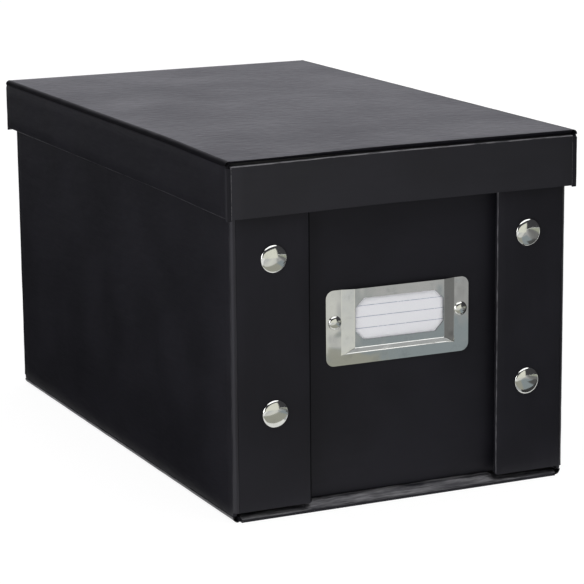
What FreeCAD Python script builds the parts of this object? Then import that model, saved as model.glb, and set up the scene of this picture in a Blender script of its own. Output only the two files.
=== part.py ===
import FreeCAD, Part
import os
import Sketcher

# A flat-packing storage box for compact discs: boards in leatherette paper that fold up round a base, with a
# flap at each end of each side board pressed onto the end boards by studs, a lift-off lid with a deep skirt,
# and a stamped label holder on the front board.
#
# Millimetres. +Z is up, +Y runs to the back, and the origin is the middle of the underside.

# The driving sizes: name, millimetres, what it measures.
SIZES = (
    # body
    ("body_width", 153.6, "over the outer faces of the side boards"),
    ("body_depth", 257.6, "over the outer faces of the front and back flaps"),
    ("body_height", 147.7, "from the ground to the rim of the walls"),
    ("base_board_thickness", 2.2, "base board with its paper"),
    ("wall_board_thickness", 2.0, "side, front and back boards with their paper"),
    ("flap_board_thickness", 2.0, "flaps with their paper"),
    ("lining_thickness", 0.3, "paper lining"),
    ("paper_fold_thickness", 0.8, "folded paper where two boards hinge"),
    ("board_clearance", 0.2, "between an end board and each side board"),
    ("lining_clearance", 0.1, "between linings that meet in a corner"),
    # flaps and their upright folds
    ("flap_width", 33.9, "from the side of the body to a flap's free edge"),
    ("flap_foot_height", 4.3, "from the ground to a flap's lower edge"),
    ("flap_corner_radius", 1.2, "rounding of a flap's free lower corner"),
    ("corner_fold_radius", 2.0, "outer radius of the upright folds"),
    ("snap_gap", 3.6, "between a flap and the end board behind it"),
    # folds round the base
    ("side_fold_radius", 2.5, "outer radius of the folds under the side boards"),
    ("end_fold_height", 4.5, "from the ground to the lower edge of an end board"),
    ("end_fold_setback", 0.4, "from the face of the flaps back to the nose of an end fold"),
    ("end_fold_nose_depth", 2.1, "from the nose of an end fold back to the base board"),
    ("end_fold_nose_height", 2.0, "from the ground to where the ramp of an end fold starts"),
    ("end_fold_inset", 3.4, "from the side of the body to the end of an end fold"),
    ("end_fold_nose_radius", 0.8, "rounding of the nose of an end fold"),
    # press studs
    ("snap_inset", 15.5, "from a flap's free edge to its press studs"),
    ("lower_snap_height", 44.1, "from the ground to the lower press studs"),
    ("upper_snap_height", 107.9, "from the ground to the upper press studs"),
    ("cap_radius", 5.7, "press stud cap"),
    ("cap_rim_height", 0.4, "straight rim of a cap"),
    ("cap_dome_height", 1.5, "dome of a cap above its rim"),
    ("post_radius", 1.5, "barrels of caps and eyelets"),
    ("post_clearance", 0.05, "between a barrel or shank and its hole"),
    ("socket_radius", 5.0, "socket under a flap"),
    ("socket_cup_depth", 2.0, "cup of a socket"),
    ("stud_base_radius", 4.5, "base of a stud"),
    ("stud_base_thickness", 0.6, "base of a stud"),
    ("stud_radius", 1.9, "nub of a stud"),
    ("stud_height", 1.9, "nub of a stud above its base"),
    ("stud_clearance", 0.1, "between a nub and the cup of its socket"),
    ("eyelet_radius", 4.0, "flange of an eyelet inside the box"),
    ("eyelet_thickness", 0.5, "flange of an eyelet"),
    # label holder
    ("holder_width", 66.0, "stamped plate"),
    ("holder_height", 31.8, "stamped plate"),
    ("holder_foot_height", 59.2, "from the ground to the lower edge of the plate"),
    ("holder_sheet", 0.6, "thickness of the plate"),
    ("holder_corner_radius", 3.5, "outer corners of the plate"),
    ("raised_width", 52.0, "raised middle of the plate, at its foot"),
    ("raised_foot", 4.6, "from the plate's lower edge up to the foot of the raised middle"),
    ("raised_height", 1.6, "raised middle above the flanges"),
    ("side_slope_run", 5.2, "slopes at the left and right of the raised middle"),
    ("sill_slope_run", 2.7, "slope at the bottom of the raised middle"),
    ("pocket_inset", 0.3, "pocket behind the raised middle, in from its outline"),
    ("window_width", 40.8, "opening in the plate"),
    ("window_height", 17.4, "opening in the plate"),
    ("window_foot", 10.3, "from the plate's lower edge up to the opening"),
    ("window_chamfer", 3.9, "cut corners of the opening"),
    ("rivet_spacing", 58.2, "between the two rivets"),
    ("rivet_foot", 18.3, "from the plate's lower edge up to the rivets"),
    ("rivet_head_radius", 2.95, "rivet head"),
    ("rivet_head_height", 1.4, "rivet head"),
    ("rivet_shank_radius", 1.2, "rivet shank"),
    ("washer_radius", 3.5, "washer inside the box"),
    ("washer_thickness", 0.5, "washer inside the box"),
    # label card
    ("card_thickness", 0.35, "label card"),
    ("card_clearance", 0.4, "between the card and the sides of its pocket"),
    ("card_seat_gap", 0.2, "between the card and the foot of its pocket"),
    ("card_top_margin", 0.6, "from the top of the card up to the top of the plate"),
    # lid
    ("lid_board_thickness", 2.0, "top board with its paper"),
    ("skirt_board_thickness", 2.0, "skirt boards with their paper"),
    ("lid_clearance", 1.2, "between the skirt and the body"),
    ("lid_drop", 23.1, "from the top of the lid to the lower edge of its skirt"),
    ("lid_fold_radius", 2.0, "outer radius of the folds over the side skirts"),
    ("lid_groove_height", 1.0, "open height of the groove over the end skirts"),
    ("lid_groove_depth", 1.1, "from the face of an end skirt back to the paper in the groove"),
    ("lid_edge_setback", 0.5, "from the face of an end skirt back to the edge of the top board"),
    ("lid_corner_radius", 0.6, "rounding of the upright corners of the skirt"),
    ("corner_web_thickness", 0.3, "paper that runs inward between a side skirt and an end skirt"),
    ("corner_gap", 0.3, "between an end skirt and the corner web beside it"),
    ("tab_length", 24.0, "corner tabs behind the end skirts"),
    ("tab_thickness", 0.3, "corner tabs"),
    ("tab_margin", 1.2, "from the edges of the skirt to a corner tab"),
)

SIDES = (("left", -1), ("right", 1))
ENDS = (("front", -1), ("back", 1))
SIDEWAYS_AXIS = FreeCAD.Vector(1, 0, 0)
ACROSS_AXIS = FreeCAD.Vector(0, 1, 0)
UP_AXIS = FreeCAD.Vector(0, 0, 1)

# Two lengths closer than this are the same, and a cut or a pad that changes less volume than this failed.
SAME_LENGTH = 1e-6
LEAST_VOLUME_CHANGE = 1.0

doc = FreeCAD.newDocument("cd_storage_box")
sheet = doc.addObject("Spreadsheet::Sheet", "Sizes")
for row, (alias, value, meaning) in enumerate(SIZES, start=1):
    sheet.set(f"A{row}", meaning)
    sheet.set(f"B{row}", str(value))
    sheet.setAlias(f"B{row}", alias)
doc.recompute()

parts = []

# Places worked out from the driving sizes, as expressions of the document. Each is a distance from the middle
# of the box, or a height above the ground, and serves both sides or both ends.
SIDE_FACE = "(Sizes.body_width / 2)"
SIDE_INSIDE = f"({SIDE_FACE} - Sizes.wall_board_thickness)"
FLAP_FACE = "(Sizes.body_depth / 2)"
FLAP_BACK = f"({FLAP_FACE} - Sizes.flap_board_thickness)"
FLAP_EDGE = f"({SIDE_FACE} - Sizes.flap_width)"
END_FACE = f"({FLAP_BACK} - Sizes.snap_gap)"
END_INSIDE = f"({END_FACE} - Sizes.wall_board_thickness)"
LINING_FACE = f"({END_INSIDE} - Sizes.lining_thickness)"
BASE_SIDE = f"({SIDE_FACE} - Sizes.side_fold_radius)"
NOSE_FACE = f"({FLAP_FACE} - Sizes.end_fold_setback)"
BASE_END = f"({NOSE_FACE} - Sizes.end_fold_nose_depth)"
CORNER_SIDE = f"({SIDE_FACE} - Sizes.corner_fold_radius)"
CORNER_END = f"({FLAP_FACE} - Sizes.corner_fold_radius)"
SNAP_PLACE = f"({FLAP_EDGE} + Sizes.snap_inset)"
FLOOR_TOP = "(Sizes.base_board_thickness + Sizes.lining_thickness)"
RIM = "Sizes.body_height"

LID_SIDE = f"({SIDE_FACE} + Sizes.lid_clearance + Sizes.skirt_board_thickness)"
LID_END = f"({FLAP_FACE} + Sizes.lid_clearance + Sizes.skirt_board_thickness)"
SKIRT_SIDE_INSIDE = f"({LID_SIDE} - Sizes.skirt_board_thickness)"
SKIRT_END_INSIDE = f"({LID_END} - Sizes.skirt_board_thickness)"
LID_BOARD_SIDE = f"({LID_SIDE} - Sizes.lid_fold_radius)"
LID_BOARD_END = f"({LID_END} - Sizes.lid_edge_setback)"
SIDE_SKIRT_END = f"({LID_END} - Sizes.paper_fold_thickness)"
LID_UNDERSIDE = f"({RIM} + Sizes.lining_thickness)"
LID_TOP = f"({LID_UNDERSIDE} + Sizes.lid_board_thickness)"
SKIRT_FOOT = f"({LID_TOP} - Sizes.lid_drop)"
SIDE_SKIRT_TOP = f"({LID_TOP} - Sizes.lid_fold_radius)"
END_SKIRT_TOP = f"({LID_UNDERSIDE} - Sizes.lid_groove_height)"
CORNER_WEB_INSIDE = f"({LID_BOARD_SIDE} - Sizes.corner_web_thickness)"
END_SKIRT_HALF = f"({CORNER_WEB_INSIDE} - Sizes.corner_gap)"

HOLDER_TOP = "(Sizes.holder_foot_height + Sizes.holder_height)"
RAISED_FOOT_HEIGHT = "(Sizes.holder_foot_height + Sizes.raised_foot)"
RIVET_HEIGHT = "(Sizes.holder_foot_height + Sizes.rivet_foot)"
WINDOW_FOOT_HEIGHT = "(Sizes.holder_foot_height + Sizes.window_foot)"


def negative(place):
    """The same place on the other side of the middle."""
    return f"-({place})"


def mirrored(sign, inner, outer):
    """The range from inner to outer on the side that sign names, as (low, high)."""
    return (inner, outer) if sign > 0 else (negative(outer), negative(inner))


def centred(half):
    """The range that reaches half to each side of the middle."""
    return (negative(half), half)


def between(low_high):
    """The length of a range."""
    low, high = low_high
    return f"({high}) - ({low})"


def bind(target, **expressions):
    """Ties properties of an object to expressions; a double underscore stands for a dot."""
    for path, expression in expressions.items():
        target.setExpression(path.replace("__", "."), expression)


def finished(sub_part):
    """Puts a sub-part on the list of what is written out, under its own name."""
    sub_part.Label = sub_part.Name
    parts.append(sub_part)


# ---------------------------------------------------------------- primitives

def block(name, x, y, z):
    """A box over three ranges."""
    solid = doc.addObject("Part::Box", name)
    bind(solid, Length=between(x), Width=between(y), Height=between(z),
         Placement__Base__x=x[0], Placement__Base__y=y[0], Placement__Base__z=z[0])
    return solid


def quarter_fold(name, radius, length, start, turn, placement):
    """A quarter of a tube, folded paper: turn sets the quadrant, start the axis and placement its low end."""
    rings = []
    for tool, size in (("outside", radius), ("inside", f"({radius} - Sizes.paper_fold_thickness)")):
        sector = doc.addObject("Part::Cylinder", f"{name}_{tool}")
        sector.Angle = 90
        sector.Placement = FreeCAD.Placement(FreeCAD.Vector(), start.multiply(FreeCAD.Rotation(UP_AXIS, turn)))
        x, y, z = placement
        bind(sector, Radius=size, Height=length,
             Placement__Base__x=x, Placement__Base__y=y, Placement__Base__z=z)
        rings.append(sector)
    fold = doc.addObject("Part::Cut", name)
    fold.Base, fold.Tool = rings
    return fold


UPRIGHT = FreeCAD.Rotation()
ALONG_Y = FreeCAD.Rotation(SIDEWAYS_AXIS, 90)

# The turn of an upright quarter fold at each corner, by the signs of its end and its side.
QUADRANTS = {(1, 1): 0, (1, -1): 90, (-1, -1): 180, (-1, 1): 270}


# ------------------------------------------------------------------ sketches

def value_of(expression):
    """The number that an expression gives."""
    return float(sheet.evalExpression(expression))


def hold_point(sketch, geometry, point, place):
    """Holds a point of a sketch at a pair of expressions, measured from the sketch's origin."""
    for kind, expression in zip(("DistanceX", "DistanceY"), place):
        index = sketch.addConstraint(
            Sketcher.Constraint(kind, -1, 1, geometry, point, value_of(expression)))
        sketch.setExpression(f"Constraints[{index}]", expression)


def outline(sketch, corners, domes=()):
    """A closed outline, anticlockwise, through corners given as expressions.

    The segments numbered in domes are arcs whose centre lies on the sketch's upright axis.
    """
    places = [FreeCAD.Vector(value_of(u), value_of(v), 0) for u, v in corners]
    count = len(places)
    for number in range(count):
        start, end = places[number], places[(number + 1) % count]
        if number in domes:
            centre_height = (end.dot(end) - start.dot(start)) / (2 * (end.y - start.y))
            centre = FreeCAD.Vector(0, centre_height, 0)
            circle = Part.Circle(centre, UP_AXIS, (end - centre).Length)
            sketch.addGeometry(Part.ArcOfCircle(circle, circle.parameter(start), circle.parameter(end)))
            sketch.addConstraint(Sketcher.Constraint("PointOnObject", number, 3, -2))
        else:
            sketch.addGeometry(Part.LineSegment(start, end))
    for number, place in enumerate(corners):
        sketch.addConstraint(Sketcher.Constraint("Coincident", number, 2, (number + 1) % count, 1))
        hold_point(sketch, number, 1, place)


def rectangle(x, z):
    """The corners of a rectangle over two ranges, anticlockwise."""
    return [(x[0], z[0]), (x[1], z[0]), (x[1], z[1]), (x[0], z[1])]


def plane_sketch(body, name, role, depth="0"):
    """A sketch on a plane of the body's origin, moved along its normal by depth."""
    plane = next(feature for feature in body.Origin.OriginFeatures if feature.Role == role)
    sketch = body.newObject("Sketcher::SketchObject", name)
    sketch.AttachmentSupport = (plane, [""])
    sketch.MapMode = "FlatFace"
    sketch.setExpression("AttachmentOffset.Base.z", depth)
    return sketch


def padded(name, role, corners, thickness):
    """A body that is one outline, padded along the normal of a plane."""
    body = doc.addObject("PartDesign::Body", name)
    sketch = plane_sketch(body, f"{name}_outline", role)
    outline(sketch, corners)
    pad = body.newObject("PartDesign::Pad", f"{name}_pad")
    pad.Profile = sketch
    pad.setExpression("Length", thickness)
    doc.recompute()
    return body


def cut_through(body, sketch, name):
    """Cuts a sketch that lies on the back plane of an upright sheet right through it."""
    before = body.Shape.Volume
    pocket = body.newObject("PartDesign::Pocket", name)
    pocket.Profile = sketch
    pocket.Type = "ThroughAll"
    pocket.Reversed = True
    doc.recompute()
    if before - body.Shape.Volume < LEAST_VOLUME_CHANGE:
        raise RuntimeError(f"{name} cut nothing")


def drill(body, holes, radius):
    """Round holes right through an upright sheet, at (x, z) places."""
    sketch = plane_sketch(body, f"{body.Name}_holes", "XZ_Plane")
    for number, (x, z) in enumerate(holes):
        centre = FreeCAD.Vector(value_of(x), value_of(z), 0)
        sketch.addGeometry(Part.Circle(centre, UP_AXIS, value_of(radius)))
        hold_point(sketch, number, 3, (x, z))
        index = sketch.addConstraint(Sketcher.Constraint("Radius", number, value_of(radius)))
        sketch.setExpression(f"Constraints[{index}]", radius)
    cut_through(body, sketch, f"{body.Name}_bores")


def upright_sheet(name, x, y, z):
    """An upright sheet across the box, such as a flap or an end board: it is padded forward from its back."""
    body = padded(name, "XZ_Plane", rectangle(x, z), between(y))
    body.setExpression("Placement.Base.y", y[1])
    return body


def round_edges(body, name, radius, chosen):
    """Rounds the edges of a body for which chosen, a test of an edge, is true."""
    doc.recompute()
    feature = body.Tip
    names = [f"Edge{number}" for number, edge in enumerate(feature.Shape.Edges, start=1) if chosen(edge)]
    fillet = body.newObject("PartDesign::Fillet", name)
    fillet.Base = (feature, names)
    fillet.setExpression("Radius", radius)
    doc.recompute()


def runs_along(edge, axis):
    """Whether an edge is straight and parallel to an axis."""
    return isinstance(edge.Curve, Part.Line) and abs(abs(edge.Curve.Direction.dot(axis)) - 1) < SAME_LENGTH


def starts_at(edge, axis, place):
    """Whether an edge starts at a place along an axis."""
    return abs(edge.Vertexes[0].Point.dot(axis) - place) < SAME_LENGTH


# --------------------------------------------------------------- turned parts

def turned_profile(name, corners, domes=()):
    """Half the section of a turned piece: (radius, distance outward along its axis)."""
    sketch = doc.addObject("Sketcher::SketchObject", name)
    outline(sketch, corners, domes)
    doc.recompute()
    return sketch


def turned_set(name, profile, sign, face, places):
    """The same turned piece at each (x, z) place, seated on the face that is y from the middle."""
    turns = []
    for number, (x, z) in enumerate(places, start=1):
        turned = doc.addObject("Part::Revolution", f"{name}_{number}")
        turned.Source = profile
        turned.Axis = ACROSS_AXIS
        turned.Angle = 360
        turned.Solid = True
        heading = FreeCAD.Rotation(UP_AXIS, 0 if sign > 0 else 180)
        turned.Placement = FreeCAD.Placement(FreeCAD.Vector(), heading)
        bind(turned, Placement__Base__x=x, Placement__Base__y=f"{sign} * {face}", Placement__Base__z=z)
        turns.append(turned)
    group = doc.addObject("Part::Compound", name)
    group.Links = turns
    finished(group)


# ----------------------------------------------------------------- the body

def make_base():
    """The base board with its lining, and the folds of paper that carry the walls."""
    finished(block("base_board", centred(BASE_SIDE), centred(BASE_END), ("0", "Sizes.base_board_thickness")))
    finished(block("base_lining", centred(BASE_SIDE), centred(END_INSIDE),
                   ("Sizes.base_board_thickness", FLOOR_TOP)))
    for side, sign in SIDES:
        turn = 90 if sign > 0 else 180
        finished(quarter_fold(
            f"base_{side}_fold", "Sizes.side_fold_radius", f"2 * {CORNER_END}", ALONG_Y, -turn,
            (f"{sign} * {BASE_SIDE}", CORNER_END, "Sizes.side_fold_radius")))
    for end, sign in ENDS:
        make_end_fold(end, sign)


def make_end_fold(end, sign):
    """The fold in front of the base board: a low nose, and a ramp up to the foot of the end board."""
    ramp_rise = "(Sizes.end_fold_height - Sizes.end_fold_nose_height)"
    ramp_run = f"({NOSE_FACE} - {END_FACE})"
    ramp_seat = f"(Sizes.paper_fold_thickness * sqrt({ramp_rise}^2 + {ramp_run}^2) / {ramp_rise})"
    section = [
        (BASE_END, "0"),
        (NOSE_FACE, "0"),
        (NOSE_FACE, "Sizes.end_fold_nose_height"),
        (END_FACE, "Sizes.end_fold_height"),
        (f"({END_FACE} - {ramp_seat})", "Sizes.end_fold_height"),
        (BASE_END, "Sizes.base_board_thickness"),
    ]
    if sign < 0:
        section = [(negative(y), z) for y, z in reversed(section)]
    name = f"base_{end}_fold"
    body = padded(name, "YZ_Plane", section, f"2 * ({SIDE_FACE} - Sizes.end_fold_inset)")
    body.setExpression("Placement.Base.x", f"Sizes.end_fold_inset - {SIDE_FACE}")
    nose = sign * value_of(NOSE_FACE)
    round_edges(body, f"{name}_nose", "Sizes.end_fold_nose_radius",
                lambda edge: runs_along(edge, SIDEWAYS_AXIS) and starts_at(edge, ACROSS_AXIS, nose))
    finished(body)


def make_side_walls():
    """The side boards with their linings."""
    side_lining_face = f"({SIDE_INSIDE} - Sizes.lining_thickness)"
    for side, sign in SIDES:
        finished(block(f"{side}_board", mirrored(sign, SIDE_INSIDE, SIDE_FACE), centred(CORNER_END),
                       ("Sizes.side_fold_radius", RIM)))
        finished(block(f"{side}_lining", mirrored(sign, side_lining_face, SIDE_INSIDE), centred(END_INSIDE),
                       (FLOOR_TOP, RIM)))


def snap_places():
    """Where the four press studs of one end are, as (x, z)."""
    heights = ("Sizes.lower_snap_height", "Sizes.upper_snap_height")
    return [(f"{sign} * {SNAP_PLACE}", height) for _, sign in SIDES for height in heights]


def rivet_places():
    """Where the two rivets of the label holder are, as (x, z)."""
    return [(f"{sign} * Sizes.rivet_spacing / 2", RIVET_HEIGHT) for _, sign in SIDES]


def make_end_walls():
    """The front and back boards with their linings, bored for the press studs and the holder's rivets."""
    bore = "Sizes.post_radius + Sizes.post_clearance"
    rivet_bore = "Sizes.rivet_shank_radius + Sizes.post_clearance"
    board_half = f"({SIDE_INSIDE} - Sizes.board_clearance)"
    lining_half = f"({SIDE_INSIDE} - Sizes.lining_thickness - Sizes.lining_clearance)"
    for end, sign in ENDS:
        layers = (
            (f"{end}_board", board_half, mirrored(sign, END_INSIDE, END_FACE), "Sizes.end_fold_height"),
            (f"{end}_lining", lining_half, mirrored(sign, LINING_FACE, END_INSIDE), FLOOR_TOP),
        )
        for name, half, y, foot in layers:
            body = upright_sheet(name, centred(half), y, (foot, RIM))
            drill(body, snap_places(), bore)
            if end == "front":
                drill(body, rivet_places(), rivet_bore)
            finished(body)


def make_flaps():
    """The four flaps and the upright folds that hinge them to the side boards."""
    for end, end_sign in ENDS:
        for side, sign in SIDES:
            name = f"{end}_{side}_flap"
            body = upright_sheet(name, mirrored(sign, FLAP_EDGE, CORNER_SIDE),
                                 mirrored(end_sign, FLAP_BACK, FLAP_FACE), ("Sizes.flap_foot_height", RIM))
            free_edge = sign * value_of(FLAP_EDGE)
            foot = value_of("Sizes.flap_foot_height")
            round_edges(body, f"{name}_corner", "Sizes.flap_corner_radius",
                        lambda edge: runs_along(edge, ACROSS_AXIS)
                        and starts_at(edge, SIDEWAYS_AXIS, free_edge) and starts_at(edge, UP_AXIS, foot))
            holes = [place for place in snap_places() if place[0].startswith(f"{sign} ")]
            drill(body, holes, "Sizes.post_radius + Sizes.post_clearance")
            finished(body)
            finished(quarter_fold(
                f"{end}_{side}_corner_fold", "Sizes.corner_fold_radius", f"{RIM} - Sizes.flap_foot_height",
                UPRIGHT, QUADRANTS[end_sign, sign],
                (f"{sign} * {CORNER_SIDE}", f"{end_sign} * {CORNER_END}", "Sizes.flap_foot_height")))


def make_snaps():
    """The press studs: cap and socket on each flap, stud and eyelet on the end board behind it."""
    cap = turned_profile("cap_profile", [
        ("0", "-Sizes.flap_board_thickness"),
        ("Sizes.post_radius", "-Sizes.flap_board_thickness"),
        ("Sizes.post_radius", "0"),
        ("Sizes.cap_radius", "0"),
        ("Sizes.cap_radius", "Sizes.cap_rim_height"),
        ("0", "Sizes.cap_rim_height + Sizes.cap_dome_height"),
    ], domes=(4,))
    cup_radius = "Sizes.stud_radius + Sizes.stud_clearance"
    cup_floor = "Sizes.stud_base_thickness + Sizes.socket_cup_depth"
    socket = turned_profile("socket_profile", [
        ("0", cup_floor),
        (cup_radius, cup_floor),
        (cup_radius, "Sizes.stud_base_thickness"),
        ("Sizes.socket_radius", "Sizes.stud_base_thickness"),
        ("Sizes.socket_radius", "Sizes.snap_gap"),
        ("0", "Sizes.snap_gap"),
    ])
    stud = turned_profile("stud_profile", [
        ("0", "0"),
        ("Sizes.stud_base_radius", "0"),
        ("Sizes.stud_base_radius", "Sizes.stud_base_thickness"),
        ("Sizes.stud_radius", "Sizes.stud_base_thickness"),
        ("Sizes.stud_radius", "Sizes.stud_base_thickness + Sizes.stud_height / 2"),
        ("0", "Sizes.stud_base_thickness + Sizes.stud_height"),
    ], domes=(4,))
    eyelet = turned_profile("eyelet_profile", [
        ("0", "-Sizes.lining_thickness - Sizes.eyelet_thickness"),
        ("Sizes.eyelet_radius", "-Sizes.lining_thickness - Sizes.eyelet_thickness"),
        ("Sizes.eyelet_radius", "-Sizes.lining_thickness"),
        ("Sizes.post_radius", "-Sizes.lining_thickness"),
        ("Sizes.post_radius", "Sizes.wall_board_thickness"),
        ("0", "Sizes.wall_board_thickness"),
    ])
    for end, sign in ENDS:
        turned_set(f"{end}_snap_caps", cap, sign, FLAP_FACE, snap_places())
        turned_set(f"{end}_snap_sockets", socket, sign, END_FACE, snap_places())
        turned_set(f"{end}_snap_studs", stud, sign, END_FACE, snap_places())
        turned_set(f"{end}_snap_eyelets", eyelet, sign, END_INSIDE, snap_places())


# ---------------------------------------------------------- the label holder

def make_holder():
    """The stamped plate: flat flanges, a raised middle open at the top, and an opening with cut corners."""
    plate = rectangle(centred("Sizes.holder_width / 2"), ("Sizes.holder_foot_height", HOLDER_TOP))
    body = padded("label_holder", "XZ_Plane", plate, "Sizes.holder_sheet")
    round_edges(body, "holder_corners", "Sizes.holder_corner_radius",
                lambda edge: runs_along(edge, ACROSS_AXIS))
    loft_through(body, "PartDesign::AdditiveLoft", "holder_middle", "Sizes.holder_sheet", "0", HOLDER_TOP)
    loft_through(body, "PartDesign::SubtractiveLoft", "holder_pocket", "0", "Sizes.pocket_inset",
                 f"{HOLDER_TOP} + Sizes.pocket_inset")
    sketch = plane_sketch(body, "holder_window", "XZ_Plane")
    outline(sketch, window_corners())
    cut_through(body, sketch, "holder_opening")
    drill(body, rivet_places(), "Sizes.rivet_shank_radius + Sizes.post_clearance")
    body.setExpression("Placement.Base.y", negative(END_FACE))
    finished(body)


def loft_through(body, kind, name, depth, inset, top):
    """The raised middle, or the pocket behind it: a loft from its foot outline to its crown outline."""
    before = body.Shape.Volume
    foot_half = f"(Sizes.raised_width / 2 - {inset})"
    foot_height = f"({RAISED_FOOT_HEIGHT} + {inset})"
    foot = plane_sketch(body, f"{name}_foot", "XZ_Plane", depth)
    outline(foot, rectangle(centred(foot_half), (foot_height, top)))
    crown = plane_sketch(body, f"{name}_crown", "XZ_Plane", f"{depth} + Sizes.raised_height")
    outline(crown, rectangle(centred(f"({foot_half} - Sizes.side_slope_run)"),
                             (f"({foot_height} + Sizes.sill_slope_run)", top)))
    loft = body.newObject(kind, name)
    loft.Profile = foot
    loft.Sections = [crown]
    loft.Ruled = True
    doc.recompute()
    if abs(body.Shape.Volume - before) < LEAST_VOLUME_CHANGE:
        raise RuntimeError(f"{name} changed nothing")


def window_corners():
    """The opening: a rectangle with cut corners, anticlockwise."""
    side = "(Sizes.window_width / 2)"
    cut_side = f"({side} - Sizes.window_chamfer)"
    low = WINDOW_FOOT_HEIGHT
    high = f"({low} + Sizes.window_height)"
    cut_low = f"({low} + Sizes.window_chamfer)"
    cut_high = f"({high} - Sizes.window_chamfer)"
    return [
        (negative(cut_side), low), (cut_side, low),
        (side, cut_low), (side, cut_high),
        (cut_side, high), (negative(cut_side), high),
        (negative(side), cut_high), (negative(side), cut_low),
    ]


def make_rivets():
    """Two dome rivets through the plate and the front board, each with a washer inside the box."""
    shank_end = "-(Sizes.wall_board_thickness + Sizes.lining_thickness + Sizes.washer_thickness)"
    rivet = turned_profile("rivet_profile", [
        ("0", shank_end),
        ("Sizes.rivet_shank_radius", shank_end),
        ("Sizes.rivet_shank_radius", "Sizes.holder_sheet"),
        ("Sizes.rivet_head_radius", "Sizes.holder_sheet"),
        ("0", "Sizes.holder_sheet + Sizes.rivet_head_height"),
    ], domes=(3,))
    washer_bore = "Sizes.rivet_shank_radius + Sizes.post_clearance"
    washer = turned_profile("washer_profile", [
        (washer_bore, "-Sizes.lining_thickness - Sizes.washer_thickness"),
        ("Sizes.washer_radius", "-Sizes.lining_thickness - Sizes.washer_thickness"),
        ("Sizes.washer_radius", "-Sizes.lining_thickness"),
        (washer_bore, "-Sizes.lining_thickness"),
    ])
    turned_set("holder_rivets", rivet, -1, END_FACE, rivet_places())
    turned_set("rivet_washers", washer, -1, END_INSIDE, rivet_places())


def make_card():
    """The label card, standing in the pocket behind the raised middle, against the front board."""
    depth_share = "(Sizes.card_thickness / Sizes.raised_height)"
    pocket_half = f"(Sizes.raised_width / 2 - Sizes.pocket_inset - Sizes.side_slope_run * {depth_share})"
    pocket_floor = f"({RAISED_FOOT_HEIGHT} + Sizes.pocket_inset + Sizes.sill_slope_run * {depth_share})"
    finished(block("label_card", centred(f"({pocket_half} - Sizes.card_clearance)"),
                   (f"-{END_FACE} - Sizes.card_thickness", negative(END_FACE)),
                   (f"{pocket_floor} + Sizes.card_seat_gap", f"{HOLDER_TOP} - Sizes.card_top_margin")))


# ------------------------------------------------------------------- the lid

def make_lid_top():
    """The top board with its lining, the folds over the side skirts and the grooves over the end skirts."""
    finished(block("lid_board", centred(LID_BOARD_SIDE), centred(LID_BOARD_END), (LID_UNDERSIDE, LID_TOP)))
    finished(block("lid_lining", centred(LID_BOARD_SIDE), centred(SKIRT_END_INSIDE), (RIM, LID_UNDERSIDE)))
    for side, sign in SIDES:
        turn = 0 if sign > 0 else 90
        finished(quarter_fold(
            f"lid_{side}_fold", "Sizes.lid_fold_radius", f"2 * {LID_BOARD_END}", ALONG_Y, turn,
            (f"{sign} * {LID_BOARD_SIDE}", LID_BOARD_END, SIDE_SKIRT_TOP)))
    groove_face = f"({LID_END} - Sizes.lid_groove_depth)"
    groove_back = f"({groove_face} - Sizes.paper_fold_thickness)"
    for end, sign in ENDS:
        finished(block(f"lid_{end}_fold", centred(END_SKIRT_HALF), mirrored(sign, groove_back, groove_face),
                       (END_SKIRT_TOP, LID_UNDERSIDE)))


def make_skirts():
    """The four skirt boards: the side skirts stand between the corner folds, the end skirts cover the tabs."""
    for side, sign in SIDES:
        finished(block(f"lid_{side}_skirt", mirrored(sign, SKIRT_SIDE_INSIDE, LID_SIDE),
                       centred(SIDE_SKIRT_END), (SKIRT_FOOT, SIDE_SKIRT_TOP)))
    for end, sign in ENDS:
        finished(block(f"lid_{end}_skirt", centred(END_SKIRT_HALF), mirrored(sign, SKIRT_END_INSIDE, LID_END),
                       (SKIRT_FOOT, END_SKIRT_TOP)))


def make_lid_corner(end, end_sign, side, sign):
    """A corner of the skirt: paper round the end of the side skirt, then in behind the end skirt as a tab."""
    name = f"lid_{end}_{side}_corner"
    tab_face = f"({SKIRT_END_INSIDE} - Sizes.tab_thickness)"
    plan = [
        (CORNER_WEB_INSIDE, tab_face), (LID_BOARD_SIDE, tab_face),
        (LID_BOARD_SIDE, SIDE_SKIRT_END), (LID_SIDE, SIDE_SKIRT_END),
        (LID_SIDE, LID_END), (CORNER_WEB_INSIDE, LID_END),
    ]
    if sign != end_sign:
        plan.reverse()
    plan = [(f"{sign} * {x}", f"{end_sign} * {y}") for x, y in plan]
    wrap = padded(f"{name}_wrap", "XY_Plane", plan, f"{END_SKIRT_TOP} - {SKIRT_FOOT}")
    wrap.setExpression("Placement.Base.z", SKIRT_FOOT)
    corner_side, corner_end = sign * value_of(LID_SIDE), end_sign * value_of(LID_END)
    round_edges(wrap, f"{name}_edge", "Sizes.lid_corner_radius",
                lambda edge: runs_along(edge, UP_AXIS)
                and starts_at(edge, SIDEWAYS_AXIS, corner_side) and starts_at(edge, ACROSS_AXIS, corner_end))
    tab = block(f"{name}_tab", mirrored(sign, f"({LID_BOARD_SIDE} - Sizes.tab_length)", LID_BOARD_SIDE),
                mirrored(end_sign, tab_face, SKIRT_END_INSIDE),
                (f"{SKIRT_FOOT} + Sizes.tab_margin", f"{END_SKIRT_TOP} - Sizes.tab_margin"))
    corner = doc.addObject("Part::MultiFuse", name)
    corner.Shapes = [wrap, tab]
    finished(corner)


def make_lid():
    """The lid, which lifts straight off the body."""
    make_lid_top()
    make_skirts()
    for end, end_sign in ENDS:
        for side, sign in SIDES:
            make_lid_corner(end, end_sign, side, sign)


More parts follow.
